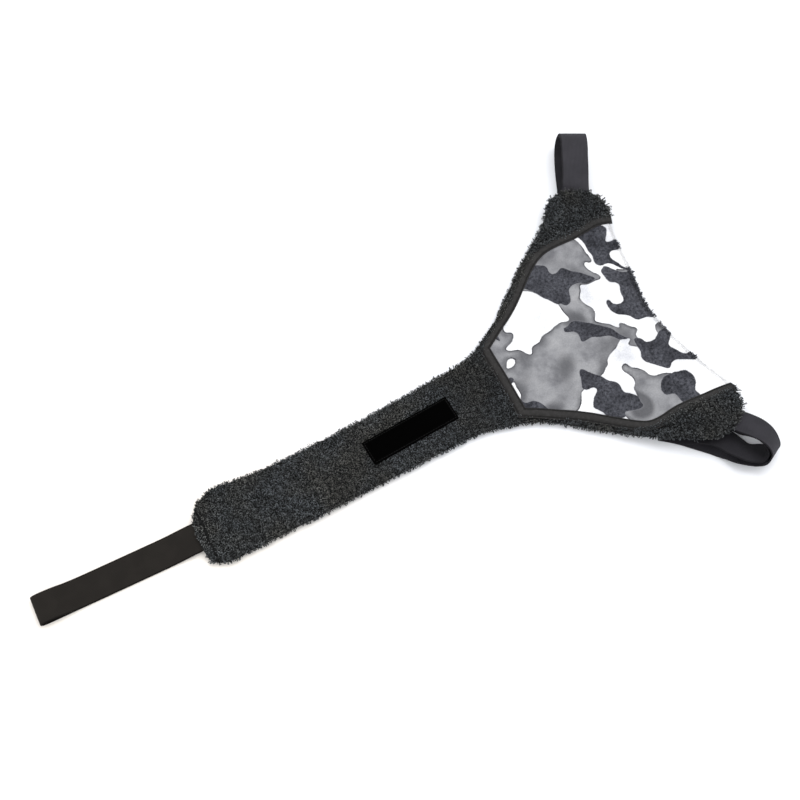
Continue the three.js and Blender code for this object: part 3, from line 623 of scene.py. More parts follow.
# The same head webbing painted darker for the right loop: painted shade on the less lit loop.
WEB_RIGHT_SHADED = webbing_material("webbing_head_right", (0.029, 0.028, 0.0335), 0.04)
LABEL_CLOTH = plain_material("label_cloth", (0.0004, 0.0004, 0.0004), 0.7, 0.004, 500)
FILM = plain_material("film_skin", (0.5, 0.52, 0.56), 0.4, 0.5, 40, 1.1)
THREAD = plain_material("thread_dark", (0.008, 0.008, 0.0083), 0.6, 0.12, 900, 2.0)
THREAD_LIGHT = plain_material("thread_light", (0.12, 0.12, 0.125), 0.6, 0.12, 900, 1.4)


# ------------------------------------------------------------------ cloth layers
def keep_off(points, chains, gap):
    keep = np.ones(len(points), bool)
    for chain, closed in chains:
        keep &= distance(points, chain, closed) > gap
    return points[keep]


chains = [(cloth_edge, True), (seam, False)]
grid = hexgrid(-176, 290, -140, 140, 3.2)
grid = grid[inside(grid, cloth_edge)]
in_panel = inside(grid, panel_region(TAPE_SEAM))
fine = hexgrid(112, 290, -112, 108, 1.15)
fine = fine[inside(fine, cloth_edge) & inside(fine, panel_region(TAPE_SEAM))]
fine = keep_off(fine, chains, 0.6)
coarse = keep_off(grid[~in_panel], chains, 0.5)
rings = [offset(cloth_edge, k, True)[:: 1 + int(k > 2)] for k in (0.35, 1.0, 2.0, 3.5, 5.5)]
rings = np.vstack(rings)
rings = keep_off(rings, chains, 0.25)
coarse = coarse[distance(coarse, cloth_edge, True) > 6.5]
points2, tris2 = triangulate(np.vstack([coarse, fine, rings]), chains)
centre = points2[tris2].mean(1)
body = inside(centre, cloth_edge)
on_panel = inside(centre, panel_region(TAPE_SEAM))
H = heights(points2)

under_rings = keep_off(rings, chains[:1], 0.25)
under_grid = keep_off(grid[distance(grid, cloth_edge, True) > 6.5], chains[:1], 0.5)
under_points, under_tris = triangulate(np.vstack([under_grid, under_rings]), chains[:1])
centre = under_points[under_tris].mean(1)
at_bow = inside(centre, panel_region(-1)) & (distance(centre, cloth_edge, True) < 2.0)
under_tris = under_tris[inside(centre, cloth_edge) & ~at_bow]
HU = heights(under_points)

co, faces, used = slab(points2, tris2[body & ~on_panel], H["upper_top"], H["upper_low"])
upper = make("terry_upper_cloth", co, faces, GROUND, replaces=["terry_front"])
co, faces, _ = slab(under_points, under_tris, HU["under_top"], HU["under_low"])
under = make("terry_under_cloth", co, faces, GROUND, replaces=["terry_back"])
film_edge = offset(outline, 8, True)
inner = inside(under_points[under_tris].mean(1), film_edge)
co, faces, _ = slab(under_points, under_tris[inner], HU["film_top"], HU["film_low"])
film = make("film_sheet", co, faces, FILM, replaces=["moisture_barrier"])


def camouflage(x, y, seed=140):
    """Two wandering fields that a plain four-tone camouflage is cut from: one for the grey, one for the dark streaks."""
    px, py = x, y
    a, b, c, d = waves(seed, 26), waves(seed + 1, 26), waves(seed + 2, 10), waves(seed + 3, 10)
    x, y = x + 9 * a(x, y) + 2.2 * c(x, y), y + 9 * b(x, y) + 2.2 * d(x, y)
    turn = math.radians(-58)
    u, v = x * math.cos(turn) + y * math.sin(turn), y * math.cos(turn) - x * math.sin(turn)
    grey = waves(seed + 4, 40)(u * 0.9, v * 1.15) + 0.25 * waves(seed + 5, 15)(u, v)
    dark = waves(seed + 6, 30)(u * 0.62, v * 1.45) + 0.3 * waves(seed + 7, 12)(u * 0.7, v * 1.3)
    near_arm = np.exp(-(((px - 165) / 34) ** 2) - ((py - 2) / 34) ** 2)
    return np.stack([grey + 1.0 * near_arm, dark - 0.7 * near_arm])


levels = np.quantile(camouflage(*points2[np.unique(tris2[body & on_panel])].T), (0.5, 0.69), axis=1).diagonal()
cloud = waves(163, 20)


def print_fields(xy):
    """How far each point of the print is inside its grey and its dark field, in millimetres."""
    x, y = xy.T
    f, fx, fy = camouflage(x, y), camouflage(x + 0.5, y), camouflage(x, y + 0.5)
    steep = np.maximum(np.hypot(fx - f, fy - f) * 2, 0.012)
    d = np.clip((f - levels[:, None]) / steep, -15, 15)
    return {"grey": d[0], "dark": d[1], "spot": cloud(x, y)}


co, faces, used = slab(points2, tris2[body & on_panel], H["panel_top"], H["panel_low"])
fields = {k: np.concatenate([v, v]) for k, v in print_fields(points2[used]).items()}
panel = make("print_panel_cloth", co, faces, PRINT, attributes=fields, replaces=["print_panel"])


# ------------------------------------------------------------------ pile
def surface(points, tris, z):
    """Triangles of a height field as 3-D corners, facing up."""
    p = np.column_stack([points, z])
    t = p[tris]
    n = np.cross(t[:, 1] - t[:, 0], t[:, 2] - t[:, 0])
    flip = n[:, 2] < 0
    n[flip] *= -1
    area = np.linalg.norm(n, axis=1) / 2
    return t, n / (2 * area[:, None] + 1e-12), area


def scatter(t, normals, area, spacing, seed):
    """Roots spread over triangles, none nearer than `spacing` to another."""
    r = np.random.default_rng(seed)
    n = int(area.sum() / spacing**2 * 2.6)
    i = r.choice(len(area), n, p=area / area.sum())
    u, v = r.random((2, n, 1))
    u, v = np.where(u + v > 1, 1 - u, u), np.where(u + v > 1, 1 - v, v)
    p = t[i, 0] + u * (t[i, 1] - t[i, 0]) + v * (t[i, 2] - t[i, 0])
    # A cell holds at most one root, and a root looks only at the cells round it.
    cell = spacing / math.sqrt(3)
    taken, keep = {}, []
    near = [(a, b, c) for a in range(-2, 3) for b in range(-2, 3) for c in range(-2, 3)]
    cells = np.floor(p / cell).astype(int)
    limit = spacing**2
    for k in range(n):
        cx, cy, cz = cells[k]
        q = p[k]
        for a, b, c in near:
            j = taken.get((cx + a, cy + b, cz + c))
            if j is not None:
                w = p[j]
                if (w[0] - q[0]) ** 2 + (w[1] - q[1]) ** 2 + (w[2] - q[2]) ** 2 < limit:
                    break
        else:
            taken[(cx, cy, cz)] = k
            keep.append(k)
    return p[keep], normals[i[keep]]


comb_x, comb_y = waves(24, 14), waves(25, 14)
clump_x, clump_y = waves(26, 3.6, 14), waves(27, 3.6, 14)


def loops_of_pile(root, normal, height, width, radius, seed, floor=None, lean=0.45, tone=None, clumps=0.0):
    """Small loops of yarn that stand on their roots. Returns points, quads and how far up its loop each point is times
    the loop's tone; the materials use it to paint loops lighter towards their tops, painted light, and the terry
    material darkens their roots as painted shade.
    """
    r = np.random.default_rng(seed)
    n, rings, sides = len(root), 4, 3
    random = r.normal(size=(n, 3))
    t = random - (random * normal).sum(1)[:, None] * normal
    t /= np.linalg.norm(t, axis=1)[:, None]
    other = np.cross(normal, t)
    up = normal + lean * (r.normal(size=(n, 1)) * t + r.normal(size=(n, 1)) * other)
    up[:, 0] += 0.5 * comb_x(root[:, 0], root[:, 1])
    up[:, 1] += 0.5 * comb_y(root[:, 0], root[:, 1])
    up[:, 0] += clumps * clump_x(root[:, 0], root[:, 1])
    up[:, 1] += clumps * clump_y(root[:, 0], root[:, 1])
    up /= np.linalg.norm(up, axis=1)[:, None]
    side = np.cross(up, t)
    side /= np.linalg.norm(side, axis=1)[:, None]
    s = np.array([0, 0.3, 0.7, 1])
    arch = np.sin(math.pi * s) ** 0.75
    bow = -np.cos(math.pi * s) * 0.5
    twist = r.normal(size=(n, 1)) * 0.35
    c = (
        root[:, None, :]
        + t[:, None, :] * (bow[None, :] * width[:, None])[..., None]
        + up[:, None, :] * (arch[None, :] * height[:, None])[..., None]
        + side[:, None, :] * (np.sin(2 * math.pi * s)[None, :] * twist * width[:, None])[..., None]
    )
    tangent = np.gradient(c, axis=1)
    tangent /= np.linalg.norm(tangent, axis=2)[..., None]
    b = np.broadcast_to(side[:, None, :], c.shape)
    b = b - (b * tangent).sum(2)[..., None] * tangent
    b /= np.linalg.norm(b, axis=2)[..., None]
    q = np.cross(tangent, b)
    rad = radius[:, None] * (0.75 + 0.35 * arch[None, :])
    phi = np.arange(sides) * 2 * math.pi / sides + 0.5
    p = c[:, :, None, :] + rad[:, :, None, None] * (np.cos(phi)[None, None, :, None] * b[:, :, None, :] + np.sin(phi)[None, None, :, None] * q[:, :, None, :])
    points = p.reshape(-1, 3)
    if floor is not None:
        points[:, 2] = np.maximum(points[:, 2], floor)
    k = np.arange(rings - 1)[:, None] * sides + np.arange(sides)[None, :]
    k2 = np.arange(rings - 1)[:, None] * sides + (np.arange(sides)[None, :] + 1) % sides
    quad = np.stack([k, k2, k2 + sides, k + sides], -1).reshape(-1, 4)
    each = (np.arange(n) * rings * sides)[:, None, None]
    ends = np.array([[0, 2, 1], [(rings - 1) * sides, (rings - 1) * sides + 1, (rings - 1) * sides + 2]])
    faces = [(quad[None] + each).reshape(-1, 4), (ends[None] + each).reshape(-1, 3)]
    own = 0.8 + 0.28 * r.random(n) if tone is None else tone
    # 0 at the roots and the loop's tone at its top: read as painted shade at the roots and painted light at the top.
    shade = np.repeat((arch[None, :] * own[:, None]).ravel(), sides)
    return points, faces, np.clip(shade, 0, 1)


def label_distance(x, y):
    dx, dy = x - LABEL["x"], y - LABEL["y"]
    u = dx * math.cos(LABEL["turn"]) + dy * math.sin(LABEL["turn"])
    v = -dx * math.sin(LABEL["turn"]) + dy * math.cos(LABEL["turn"])
    return np.maximum(np.abs(u) - LABEL["length"] / 2, np.abs(v) - LABEL["width"] / 2)


def tape_cover(xy):
    """How far from the tape's inner edge the pile begins: it is brushed over the tape, all of it at the right corner."""
    x, y = xy.T
    top = np.where(y > 33, 5.4, 9.0)
    low = np.interp(x, (121, 190, 212, 290), (9.6, 9.3, 1.6, 0.6))
    return np.where(y < -29, low, top)


t, n, area = surface(points2, tris2[body & ~on_panel], H["upper_top"])
root, normal = scatter(t, n, area, 0.78, 11)
hr = heights(root[:, :2])
from_tape = distance(root[:, :2], edge, False)
covered = from_tape < TAPE_WIDTH + 0.2
root[:, 2] = np.where(covered, lift(root[:, 0], root[:, 1]) + 7.3, root[:, 2])
r = np.random.default_rng(12)
keep = from_tape > tape_cover(root[:, :2]) + 0.5 * r.normal(size=len(root))
keep &= label_distance(root[:, 0], root[:, 1]) > -0.5
keep &= ~((np.abs(root[:, 0] - groove_line(root[:, 1])) < 1.05 + 0.3 * r.normal(size=len(root))) & (root[:, 0] < -150) & (np.abs(root[:, 1]) < 26))
from_crease = distance(root[:, :2], CREASE, False)
keep &= from_crease > 0.45 + 0.2 * r.normal(size=len(root))
root, normal, d, covered, from_crease = root[keep], normal[keep], hr["d"][keep], covered[keep], from_crease[keep]
rim = smooth((5.5 - d) / 5.5)
clump = waves(21, 3.0)(root[:, 0], root[:, 1])
tuft = waves(22, 2.3)(root[:, 0], root[:, 1])
height = 2.0 + 0.3 * clump + 0.28 * r.normal(size=len(root)) + rim * (0.5 + 1.8 * np.maximum(0, tuft)) * r.random(len(root))
corner = smooth((root[:, 0] - 200) / 25) * smooth((np.abs(root[:, 1]) - 78) / 14)
height *= 1 + 0.45 * corner * (1 + 0.6 * tuft)
near_label = label_distance(root[:, 0], root[:, 1]) < 1.0
height = np.where(near_label, height * 0.8, height)
height = np.where(covered, height * 0.75, height)
by_groove = (np.abs(root[:, 0] - groove_line(root[:, 1])) < 2.2) & (root[:, 0] < -150)
height = np.where(by_groove, height * 0.74, height)
width = np.where(r.random(len(root)) < 0.35, 0.4, 0.7 + 0.45 * r.random(len(root)))
radius = (0.2 + 0.08 * r.random(len(root))) * 1.0 * (1 + 0.15 * corner)
# Loops along the crease are painted darker: painted shade in the crease.
tone = np.clip(0.78 + 0.17 * clump + (0.22 + 0.06 * corner) * r.normal(size=len(root)), 0.25, 1.0) * (1 - 0.4 * np.exp(-((from_crease / 1.8) ** 2)))
# Loops in a strip beside the tape along the head's lower edge are painted lighter: painted light.
painted_light_strip = smooth((-29 - root[:, 1]) / 12) * smooth((root[:, 0] - 118) / 10) * smooth((214 - root[:, 0]) / 20)
tone = np.clip(tone + 0.2 * painted_light_strip, 0.25, 1.0)
band = np.digitize(root[:, 0], (-95, -20, 60))
groups = [band == 0, band == 1, band == 2, (band == 3) & (root[:, 1] > 0), (band == 3) & (root[:, 1] <= 0)]
for k, which in enumerate(groups):
    p, f, shade = loops_of_pile(root[which], normal[which], height[which], width[which], radius[which], 30 + k, tone=tone[which], floor=0.05, lean=(0.38 + 0.4 * corner[which])[:, None], clumps=(0.4 + 0.35 * rim + 0.4 * corner)[which])
    make(f"terry_upper_pile_{k + 1}", p, f, TERRY, attributes={"shade": shade})

t, n, area = surface(under_points, under_tris, HU["under_low"])
n = -n
root, normal = scatter(t, n, area, 1.8, 13)
hu = heights(root[:, :2])
r = np.random.default_rng(14)
d = hu["d"]
rim = smooth((5.0 - d) / 5.0)
tuft = waves(23, 2.3)(root[:, 0], root[:, 1])
height = 2.2 + 0.3 * r.normal(size=len(root)) + rim * (0.5 + 1.5 * np.maximum(0, tuft)) * r.random(len(root))
at_bow = inside(root[:, :2], panel_region(-1))
height = np.where(at_bow & (d < 7), height * 0.5, height)
down = np.maximum(-normal[:, 2], 0.05)
height = np.minimum(height, np.maximum(0.5, (root[:, 2] - 0.45) / down))
width = 1.1 + 0.5 * r.random(len(root))
radius = (0.4 + 0.1 * r.random(len(root))) * 1.0
arm = root[:, 0] < 40
upper_half = root[:, 1] > 0
for k, which in enumerate((arm, ~arm & upper_half, ~arm & ~upper_half)):
    p, f, shade = loops_of_pile(root[which], normal[which], height[which], width[which], radius[which], 40 + k, floor=0.05, lean=0.5)
    make(f"terry_under_pile_{k + 1}", p, f, TERRY, attributes={"shade": shade})

# The printed panel's short pile shows as a fringe along its free edge.
bow = cloth_edge[inside(cloth_edge, panel_region(0.5))]
order = np.argsort(np.arctan2(bow[:, 1], bow[:, 0] - 100))
bow = resample(bow[order], 0.8)
r = np.random.default_rng(15)
out_dir = -mitres(bow, False)
out_dir *= np.sign(out_dir[:, 0].mean())
rows = [(bow - out_dir * inset + r.normal(size=bow.shape) * 0.25, out_dir) for inset in (0.1, 0.7, 1.4, 2.2, 3.0)]
xy = np.vstack([q for q, _ in rows])
out_dir = np.vstack([o for _, o in rows])
hb = heights(xy)
slope = smooth(hb["d"] / 3.5)[:, None]
normal = np.column_stack([out_dir * (1 - 0.7 * slope), 0.45 + 0.55 * slope[:, 0]])
normal /= np.linalg.norm(normal, axis=1)[:, None]
root = np.column_stack([xy, hb["panel_top"] - 0.15])
fields = print_fields(xy)
shaggy = (fields["dark"] > 0) | (fields["grey"] > 0)
reach = 0.7 + 0.5 * r.random(len(root)) + np.where(shaggy, 0.5 + 1.7 * np.maximum(0, waves(51, 2.4)(*xy.T)), 0)
p, f, shade = loops_of_pile(root, normal, reach, 0.4 + 0.3 * r.random(len(root)), 0.2 + 0.06 * r.random(len(root)), 50)
tips = {**{k: np.repeat(v, 12) for k, v in fields.items()}, "tip": shade}
fringe = make("print_panel_fringe", p, f, PRINT, attributes=tips)


# ------------------------------------------------------------------ tape
def tube_faces(stations, k, closed):
    rows = np.arange(stations if closed else stations - 1)
    a = rows[:, None] * k + np.arange(k)[None]
    b = rows[:, None] * k + (np.arange(k)[None] + 1) % k
    c = ((rows + 1) % stations)[:, None] * k + (np.arange(k)[None] + 1) % k
    d = ((rows + 1) % stations)[:, None] * k + np.arange(k)[None]
    return np.stack([a, b, c, d], -1).reshape(-1, 4)


section = [
    (0.05, 6.75), (0.25, 7.15), (0.7, 7.35), (1.35, 7.12), (2.0, 7.4), (3.1, 7.95), (4.4, 8.1), (5.7, 7.95), (6.8, 7.45), (7.5, 7.0),
    (8.1, 6.9), (8.7, 7.15), (9.2, 7.05), (9.45, 6.7), (9.1, 6.45), (4.75, 6.4), (0.4, 6.45),
]
line = edge[(edge[:, 0] < 288.5)]
first, last = line[0], line[-1]
run = np.concatenate([[0], np.cumsum(np.linalg.norm(np.diff(line, axis=0), axis=1))])
steps = np.unique(np.concatenate([np.arange(0, run[-1], 2.0), run[[int(np.argmin(np.hypot(*(line - c).T))) for c in (np.array([123.2, 33]), np.array([121, -29.2]))]], [run[-1]]]))
mit = mitres(line, False)
pl = np.stack([np.interp(steps, run, line[:, k]) for k in range(2)], 1)
ml = -mitres(pl, False)
k = len(section)
co, across, along_run = [], [], []
for i, (p0, m0) in enumerate(zip(pl, ml)):
    for v, z in section:
        co.append((*(p0 + m0 * v), z))
        across.append(v - 4.75)
        along_run.append(steps[i])
co = np.array(co)
co[:, 2] += lift(co[:, 0], co[:, 1]) + 0.12 * waves(61, 7)(co[:, 0], co[:, 1])
# The ends are cut along the cover's free edge and stand a little past it.
co = co.reshape(len(pl), k, 3)
stop = offset(cloth_edge, -1.2, True)
ok = inside(co[:, :, :2].reshape(-1, 2), stop).reshape(len(pl), k)
for j in range(k):
    good = np.where(ok[:, j])[0]
    a, b = good[0], good[-1]
    for i in range(a):
        co[i, j] = co[a, j] + (co[i, j] - co[a, j]) * 0.004
    for i in range(b + 1, len(pl)):
        co[i, j] = co[b, j] + (co[i, j] - co[b, j]) * 0.004
lo_i = max(0, min(np.where(ok[:, j])[0][0] for j in range(k)))
hi_i = max(np.where(ok[:, j])[0][-1] for j in range(k))
co = co[lo_i : hi_i + 1]
across = np.array(across).reshape(len(pl), k)[lo_i : hi_i + 1].ravel()
along_run = np.array(along_run).reshape(len(pl), k)[lo_i : hi_i + 1].ravel()
tape_rows = len(co)
co = co.reshape(-1, 3)
faces = tube_faces(tape_rows, k, False)
cap0 = np.array([[0, j, j + 1] for j in range(1, k - 1)])[:, ::-1]
cap1 = np.array([[0, j, j + 1] for j in range(1, k - 1)]) + (tape_rows - 1) * k
p = co[faces]
vol = (np.cross(p[:, 0], p[:, 1]) * p[:, 2]).sum() + (np.cross(p[:, 0], p[:, 2]) * p[:, 3]).sum()
if vol < 0:
    faces, cap0, cap1 = faces[:, ::-1], cap0[:, ::-1], cap1[:, ::-1]
tape = make("binding_tape_cloth", co, [faces, cap0, cap1], TAPE, attributes={"across": across, "run": along_run}, replaces=["binding_tape"])


# ------------------------------------------------------------------ webbing
def tight_fold(c, direction):
    r0 = PLY_STEP / 2
    return [(c[0] + direction * r0 * math.cos(math.radians(a)), c[1] + r0 * math.sin(math.radians(a))) for a in (60, 20, -20, -60)]


def tail_rows():
    profile = TAIL_UPPER + TAIL_FOLD + TAIL_LOWER + tight_fold((-12, 4.2), -1)[::-1]
    rows = []
    for u, z in profile:
        c = TAIL_BASE + TAIL_DIR * u
        a, b = c - TAIL_SIDE * 12.5, c + TAIL_SIDE * 12.5
        rows.append([a[0], a[1], z, b[0], b[1], z])
    return np.array(rows)


def head_ply(corner, rows, level):
    e, d, s = (np.array(corner[k]) for k in ("exit", "along", "across"))
    out = []
    for row in rows:
        new = []
        for a, b, z in (row[:3], row[3:]):
            x, y = e + d * a + s * b
            new += [x, y, float(lift(x, y)) + level if row[0] < -1 and row[2] > 6.5 else max(z, 0.75)]
        out.append(new)
    return np.array(out)


def inner_ply(rows, step):
    mid = (rows[:, :3] + rows[:, 3:]) / 2
    t = np.vstack([mid[1:], mid[-1:]]) - np.vstack([mid[:1], mid[:-1]])
    n = np.cross(rows[:, 3:] - rows[:, :3], t)
    n = n / np.linalg.norm(n, axis=1)[:, None] * step
    return rows + np.hstack([n, n])


def head_rows(outer, inner):
    def turn(before, start, end):
        made = []
        for t in (0.25, 0.5, 0.75):
            row = np.zeros(6)
            for k in (0, 3):
                f = start[k : k + 3] - before[k : k + 3]
                row[k : k + 3] = start[k : k + 3] + (end[k : k + 3] - start[k : k + 3]) * t + f / np.linalg.norm(f) * PLY_STEP * 0.5 * math.sin(math.pi * t)
            made.append(row)
        return made

    back = inner[::-1]
    return np.vstack([outer, turn(outer[-2], outer[-1], back[0]), back, turn(back[-2], back[-1], outer[0])])


def webbing(name, rows, mat, replaces, per=5, painted_shade_stations=None):
    p = spline(rows[:, :3], True, per, uniform=True)
    q = spline(rows[:, 3:], True, per, uniform=True)
    mid = (p + q) / 2
    w = q - p
    width = np.linalg.norm(w, axis=1)[:, None]
    w = w / width
    t = np.roll(mid, -1, 0) - np.roll(mid, 1, 0)
    nrm = np.cross(t, w)
    nrm /= np.linalg.norm(nrm, axis=1)[:, None]
    h = WEB_THICK / 2
    # across the band: thin selvage beads at both edges and a very slightly crowned middle
    half = [(-12.5, 0), (-12.42, 0.3), (-12.2, 0.5), (-11.8, 0.6), (-11.3, 0.52), (-10.6, 0.5), (-8, 0.55), (-4, 0.58), (0, 0.6),
            (4, 0.58), (8, 0.55), (10.6, 0.5), (11.3, 0.52), (11.8, 0.6), (12.2, 0.5), (12.42, 0.3), (12.5, 0)]
    ring = half + [(a, -b) for a, b in half[-2:0:-1]]
    k = len(ring)
    co = np.zeros((len(mid), k, 3))
    for j, (a, b) in enumerate(ring):
        co[:, j] = mid + w * (a * width / 25.0) + nrm * (b / 0.6 * h)
    run = np.concatenate([[0], np.cumsum(np.linalg.norm(np.diff(mid, axis=0), axis=1))])
    length = run[-1] + np.linalg.norm(mid[0] - mid[-1])
    faces = tube_faces(len(mid), k, True)
    pts = co.reshape(-1, 3)
    f = pts[faces]
    vol = (np.cross(f[:, 0], f[:, 1]) * f[:, 2]).sum() + (np.cross(f[:, 0], f[:, 2]) * f[:, 3]).sum()
    if vol < 0:
        faces = faces[:, ::-1]
    across = np.tile([a for a, _ in ring], len(mid))
    at = np.arange(len(mid)) / per
    # Stations on the loop's inner run get 'back' = 1, which the material darkens as painted shade.
    back = np.zeros(len(mid)) if painted_shade_stations is None else ((at >= painted_shade_stations[0]) & (at <= painted_shade_stations[1])).astype(float)
    back = np.repeat(back, k)
    obj = make(name, pts, faces, mat, attributes={"across": across, "run": np.repeat(run, k), "back": back}, replaces=replaces)
    return obj, length


tail_loop, tail_length = webbing("webbing_tail_loop", tail_rows(), WEB_TAIL, ["elastic_loop_tail"])
left_outer = head_ply(CORNERS["left"], LEFT_OUTER, 4.2 + PLY_STEP / 2)
left_loop, left_length = webbing("webbing_left_loop", head_rows(left_outer, inner_ply(left_outer, PLY_STEP)), WEB_HEAD, ["elastic_loop_left"], painted_shade_stations=(len(left_outer) + 2, 2 * len(left_outer) + 3))
right_outer = head_ply(CORNERS["right"], RIGHT_OUTER, 4.2 + PLY_STEP / 2)
right_inner = head_ply(CORNERS["right"], RIGHT_INNER, 4.2 - PLY_STEP / 2)
right_loop, right_length = webbing("webbing_right_loop", head_rows(right_outer, right_inner), WEB_RIGHT_SHADED, ["elastic_loop_right"], painted_shade_stations=(len(right_outer) + 2, len(right_outer) + len(right_inner) + 3))
print("loop lengths, mm:", round(tail_length, 1), round(left_length, 1), round(right_length, 1))


# ------------------------------------------------------------------ label
def label_piece():
    nu, nv = 56, 18
    L, W, c = LABEL["length"] / 2, LABEL["width"] / 2, 0.7
    u = np.linspace(-1, 1, nu)
    v = np.linspace(-1, 1, nv)
    U, V = np.meshgrid(u, v, indexing="ij")
    x, y = U * L, V * W
    corner = np.maximum(np.abs(x) - (L - c), 0) * np.maximum(np.abs(y) - (W - c), 0)
    x, y = x - np.sign(x) * corner * 0.4, y - np.sign(y) * corner * 0.4
    edge_d = np.minimum(L - np.abs(x), W - np.abs(y))
    z = 9.15 - 0.5 * (1 - smooth(edge_d / 3.0)) + 0.1 * waves(71, 18)(x, y)
    px = LABEL["x"] + x * math.cos(LABEL["turn"]) - y * math.sin(LABEL["turn"])
    py = LABEL["y"] + x * math.sin(LABEL["turn"]) + y * math.cos(LABEL["turn"])
    z = z + lift(px, py)
    top = np.stack([px, py, z], -1).reshape(-1, 3)
    low = top.copy()
    low[:, 2] -= 0.55
    n = nu * nv
    i, j = np.meshgrid(np.arange(nu - 1), np.arange(nv - 1), indexing="ij")
    a = (i * nv + j).ravel()
    quads = np.stack([a, a + nv, a + nv + 1, a + 1], 1)
    rim = [i * nv for i in range(nu)] + [(nu - 1) * nv + j for j in range(1, nv)] + [i * nv + nv - 1 for i in range(nu - 2, -1, -1)] + [j for j in range(nv - 2, 0, -1)]
    rim = np.array(rim)
    nxt = np.roll(rim, -1)
    walls = np.stack([rim, rim + n, nxt + n, nxt], 1)
    return np.vstack([top, low]), [quads, quads[:, ::-1] + n, walls]


co, faces = label_piece()
label = make("label_bare", co, faces, LABEL_CLOTH, smooth_faces=False, replaces=["label_patch"])


# ------------------------------------------------------------------ stitches
def stitches(name, path, pitch, length, radius, replaces, dip=0.25, mat=THREAD):
    """Separate short stitches along a path of 3-D points; each rises out of the cloth and goes back in."""
    path = resample(path, 0.5)
    run = np.concatenate([[0], np.cumsum(np.linalg.norm(np.diff(path, axis=0), axis=1))])
    count = int(run[-1] // pitch)
    rings, sides = 5, 6
    pts, faces, ends = [], [], []
    for i in range(count):
        s = (i + 0.5) * pitch + np.linspace(-length / 2, length / 2, rings)
        c = np.stack([np.interp(s, run, path[:, k]) for k in range(3)], 1)
        c[:, 2] += -dip + dip * np.sin(np.linspace(0, math.pi, rings)) ** 0.6 * 1.3
        t = np.gradient(c, axis=0)
        t /= np.linalg.norm(t, axis=1)[:, None]
        b = np.cross(t, (0, 0, 1.0))
        b /= np.linalg.norm(b, axis=1)[:, None]
        q = np.cross(b, t)
        start = len(pts) * rings * sides
        ring = []
        for m in range(rings):
            rr = radius * (0.45 if m in (0, rings - 1) else 1.0)
            for phi in np.arange(sides) * 2 * math.pi / sides:
                ring.append(c[m] + rr * (math.cos(phi) * b[m] + math.sin(phi) * q[m]))
        pts.append(np.array(ring))
        faces.append(tube_faces(rings, sides, False)[:, ::-1] + start)
        last = start + (rings - 1) * sides
        for j in range(1, sides - 1):
            ends += [(start, start + j, start + j + 1), (last, last + j + 1, last + j)]
    obj = make(name, np.vstack(pts), [np.vstack(faces), np.array(ends)], mat, replaces=replaces)
    return obj


def on_tape(v, z):
    q = resample(edge, 1.0)
    m = -mitres(q, False)
    xy = q + m * v
    ok = (distance(xy, edge, False) > v * 0.97) & inside(xy, cloth_edge)
    xy = xy[ok]
    return np.column_stack([xy, lift(xy[:, 0], xy[:, 1]) + z])


stitch_inner = stitches("tape_stitches_inner", on_tape(1.4, 7.3), 2.9, 2.3, 0.2, ["tape_stitching_inner"], dip=0.12)
stitch_outer = stitches("tape_stitches_outer", on_tape(7.8, 7.14), 2.9, 2.3, 0.2, ["tape_stitching_outer"], dip=0.12)


def label_ring(inset, z):
    L, W = LABEL["length"] / 2 - inset, LABEL["width"] / 2 - inset
    ring = np.array([(-L, -W), (L, -W), (L, W), (-L, W), (-L, -W)])
    c, s = math.cos(LABEL["turn"]), math.sin(LABEL["turn"])
    return np.column_stack([LABEL["x"] + ring[:, 0] * c - ring[:, 1] * s, LABEL["y"] + ring[:, 0] * s + ring[:, 1] * c, np.full(5, z)])


label_thread = stitches("label_stitches", label_ring(1.6, 9.02), 2.4, 1.9, 0.17, ["label_stitching"], dip=0.1)
tail_thread = stitches("tail_stitches", np.array([(GROOVE_X, -23.5, 5.1), (GROOVE_X, 24.5, 5.1)]), 3.0, 2.4, 0.25, ["tail_stitching"], dip=0.2)


def bar(corner, z_up):
    e, d, s = (np.array(CORNERS[corner][k]) for k in ("exit", "along", "across"))
    ring = [(-10, -9.5), (-10, 9.5), (-5, 9.5), (-5, -9.5), (-9.2, -9.5)]
    xy = resample(np.array([e + d * a + s * b for a, b in ring]), 1.0)
    return np.column_stack([xy, heights(xy)["upper_top"] + z_up])


left_bar = stitches("left_bar_stitches", bar("left", 0.1), 2.6, 2.1, 0.24, ["left_loop_stitching"], dip=0.2)
right_bar = stitches("right_bar_stitches", bar("right", 0.1), 2.6, 2.1, 0.24, ["right_loop_stitching"], dip=0.2)
bow_row = resample(offset(bow, 5.3 * np.sign(bow[-1, 1] - bow[0, 1]), False), 1.0)
if distance(bow_row[len(bow_row) // 2 : len(bow_row) // 2 + 1], cloth_edge, True)[0] > 20 or not inside(bow_row, cloth_edge)[len(bow_row) // 2]:
    raise SystemExit("the bow row is on the wrong side")
bow_row = bow_row[(bow_row[:, 1] > -80) & (bow_row[:, 1] < 72)]
bow_thread = stitches(
    "bow_edge_stitches", np.column_stack([bow_row, heights(bow_row)["panel_top"] - 0.1]), 3.0, 2.0, 0.12, ["bow_edge_stitching"], dip=0.12, mat=THREAD_LIGHT
)
for node in ("side_seam_left", "side_seam_right"):
    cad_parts[node].data.materials.clear()
    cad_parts[node].data.materials.append(THREAD)


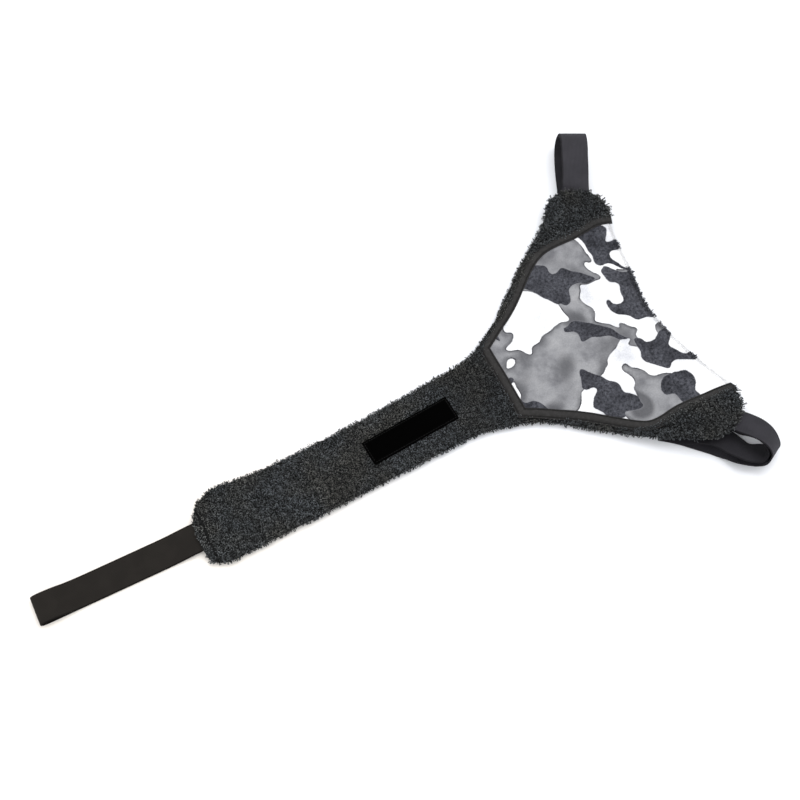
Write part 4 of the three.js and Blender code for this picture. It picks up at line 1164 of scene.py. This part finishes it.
# ------------------------------------------------------------------ studio
me = bpy.data.meshes.new("floor")
me.from_pydata([(-8, -8, 0), (8, -8, 0), (8, 8, 0), (-8, 8, 0)], [], [(0, 1, 2, 3)])
floor = bpy.data.objects.new("floor", me)
bpy.context.scene.collection.objects.link(floor)
fm, fnodes, flinks, fb = material("floor_white", 0.9, 0.1)
fg = Graph(fnodes, flinks)
floor_axes = fnodes.new("ShaderNodeSeparateXYZ")
flinks.new(fg.object(), floor_axes.inputs[0])
# Warm towards the tail and cool towards the head; the lit floor still clips to white, so the tint paints coloured
# bounce light into the floor's shadows only.
fg.put(fb.inputs["Base Color"], fg.mix(fg.range(floor_axes.outputs[0], -0.2, 0.1), (0.93, 0.89, 0.84), (0.85, 0.865, 0.9)))
me.materials.append(fm)

world = bpy.data.worlds.new("studio")
world.use_nodes = True
world.node_tree.nodes["Background"].inputs["Color"].default_value = (1, 1, 1, 1)
world.node_tree.nodes["Background"].inputs["Strength"].default_value = 1.13
bpy.context.scene.world = world

right_dir = Vector((math.cos(math.radians(29)), -math.sin(math.radians(29)), 0))
back_dir = Vector((math.sin(math.radians(29)), math.cos(math.radians(29)), 0))


def area_light(name, at, size, power, colour=(1, 1, 1)):
    data = bpy.data.lights.new(name, "AREA")
    data.shape, data.size, data.energy, data.color = "DISK", size, power, colour
    obj = bpy.data.objects.new(name, data)
    obj.location = at
    obj.rotation_euler = (-Vector(at)).to_track_quat("-Z", "Y").to_euler()
    bpy.context.scene.collection.objects.link(obj)


area_light("key", right_dir * 0.6 + back_dir * 0.7 + Vector((0, 0, 1.8)), 1.4, 15)
area_light("fill", right_dir * -1.3 + back_dir * -0.6 + Vector((0, 0, 1.4)), 1.6, 6)

look_at = Vector((*((np.array([33.0, 30.8]) + SHIFT[:2]) * 1e-3), 0))
tilt = math.radians(67.5)
direction = back_dir * math.cos(tilt) - Vector((0, 0, 1)) * math.sin(tilt)
cam = bpy.data.cameras.new("camera")
cam.lens, cam.sensor_width, cam.sensor_height, cam.sensor_fit = 56.25, 36, 36, "HORIZONTAL"
cam.clip_start, cam.clip_end = 0.05, 50
camera = bpy.data.objects.new("camera", cam)
camera.location = look_at - direction * 1.06655
camera.rotation_euler = direction.to_track_quat("-Z", "Y").to_euler()
bpy.context.scene.collection.objects.link(camera)
bpy.context.scene.camera = camera
bpy.context.scene.view_settings.view_transform = "Standard"
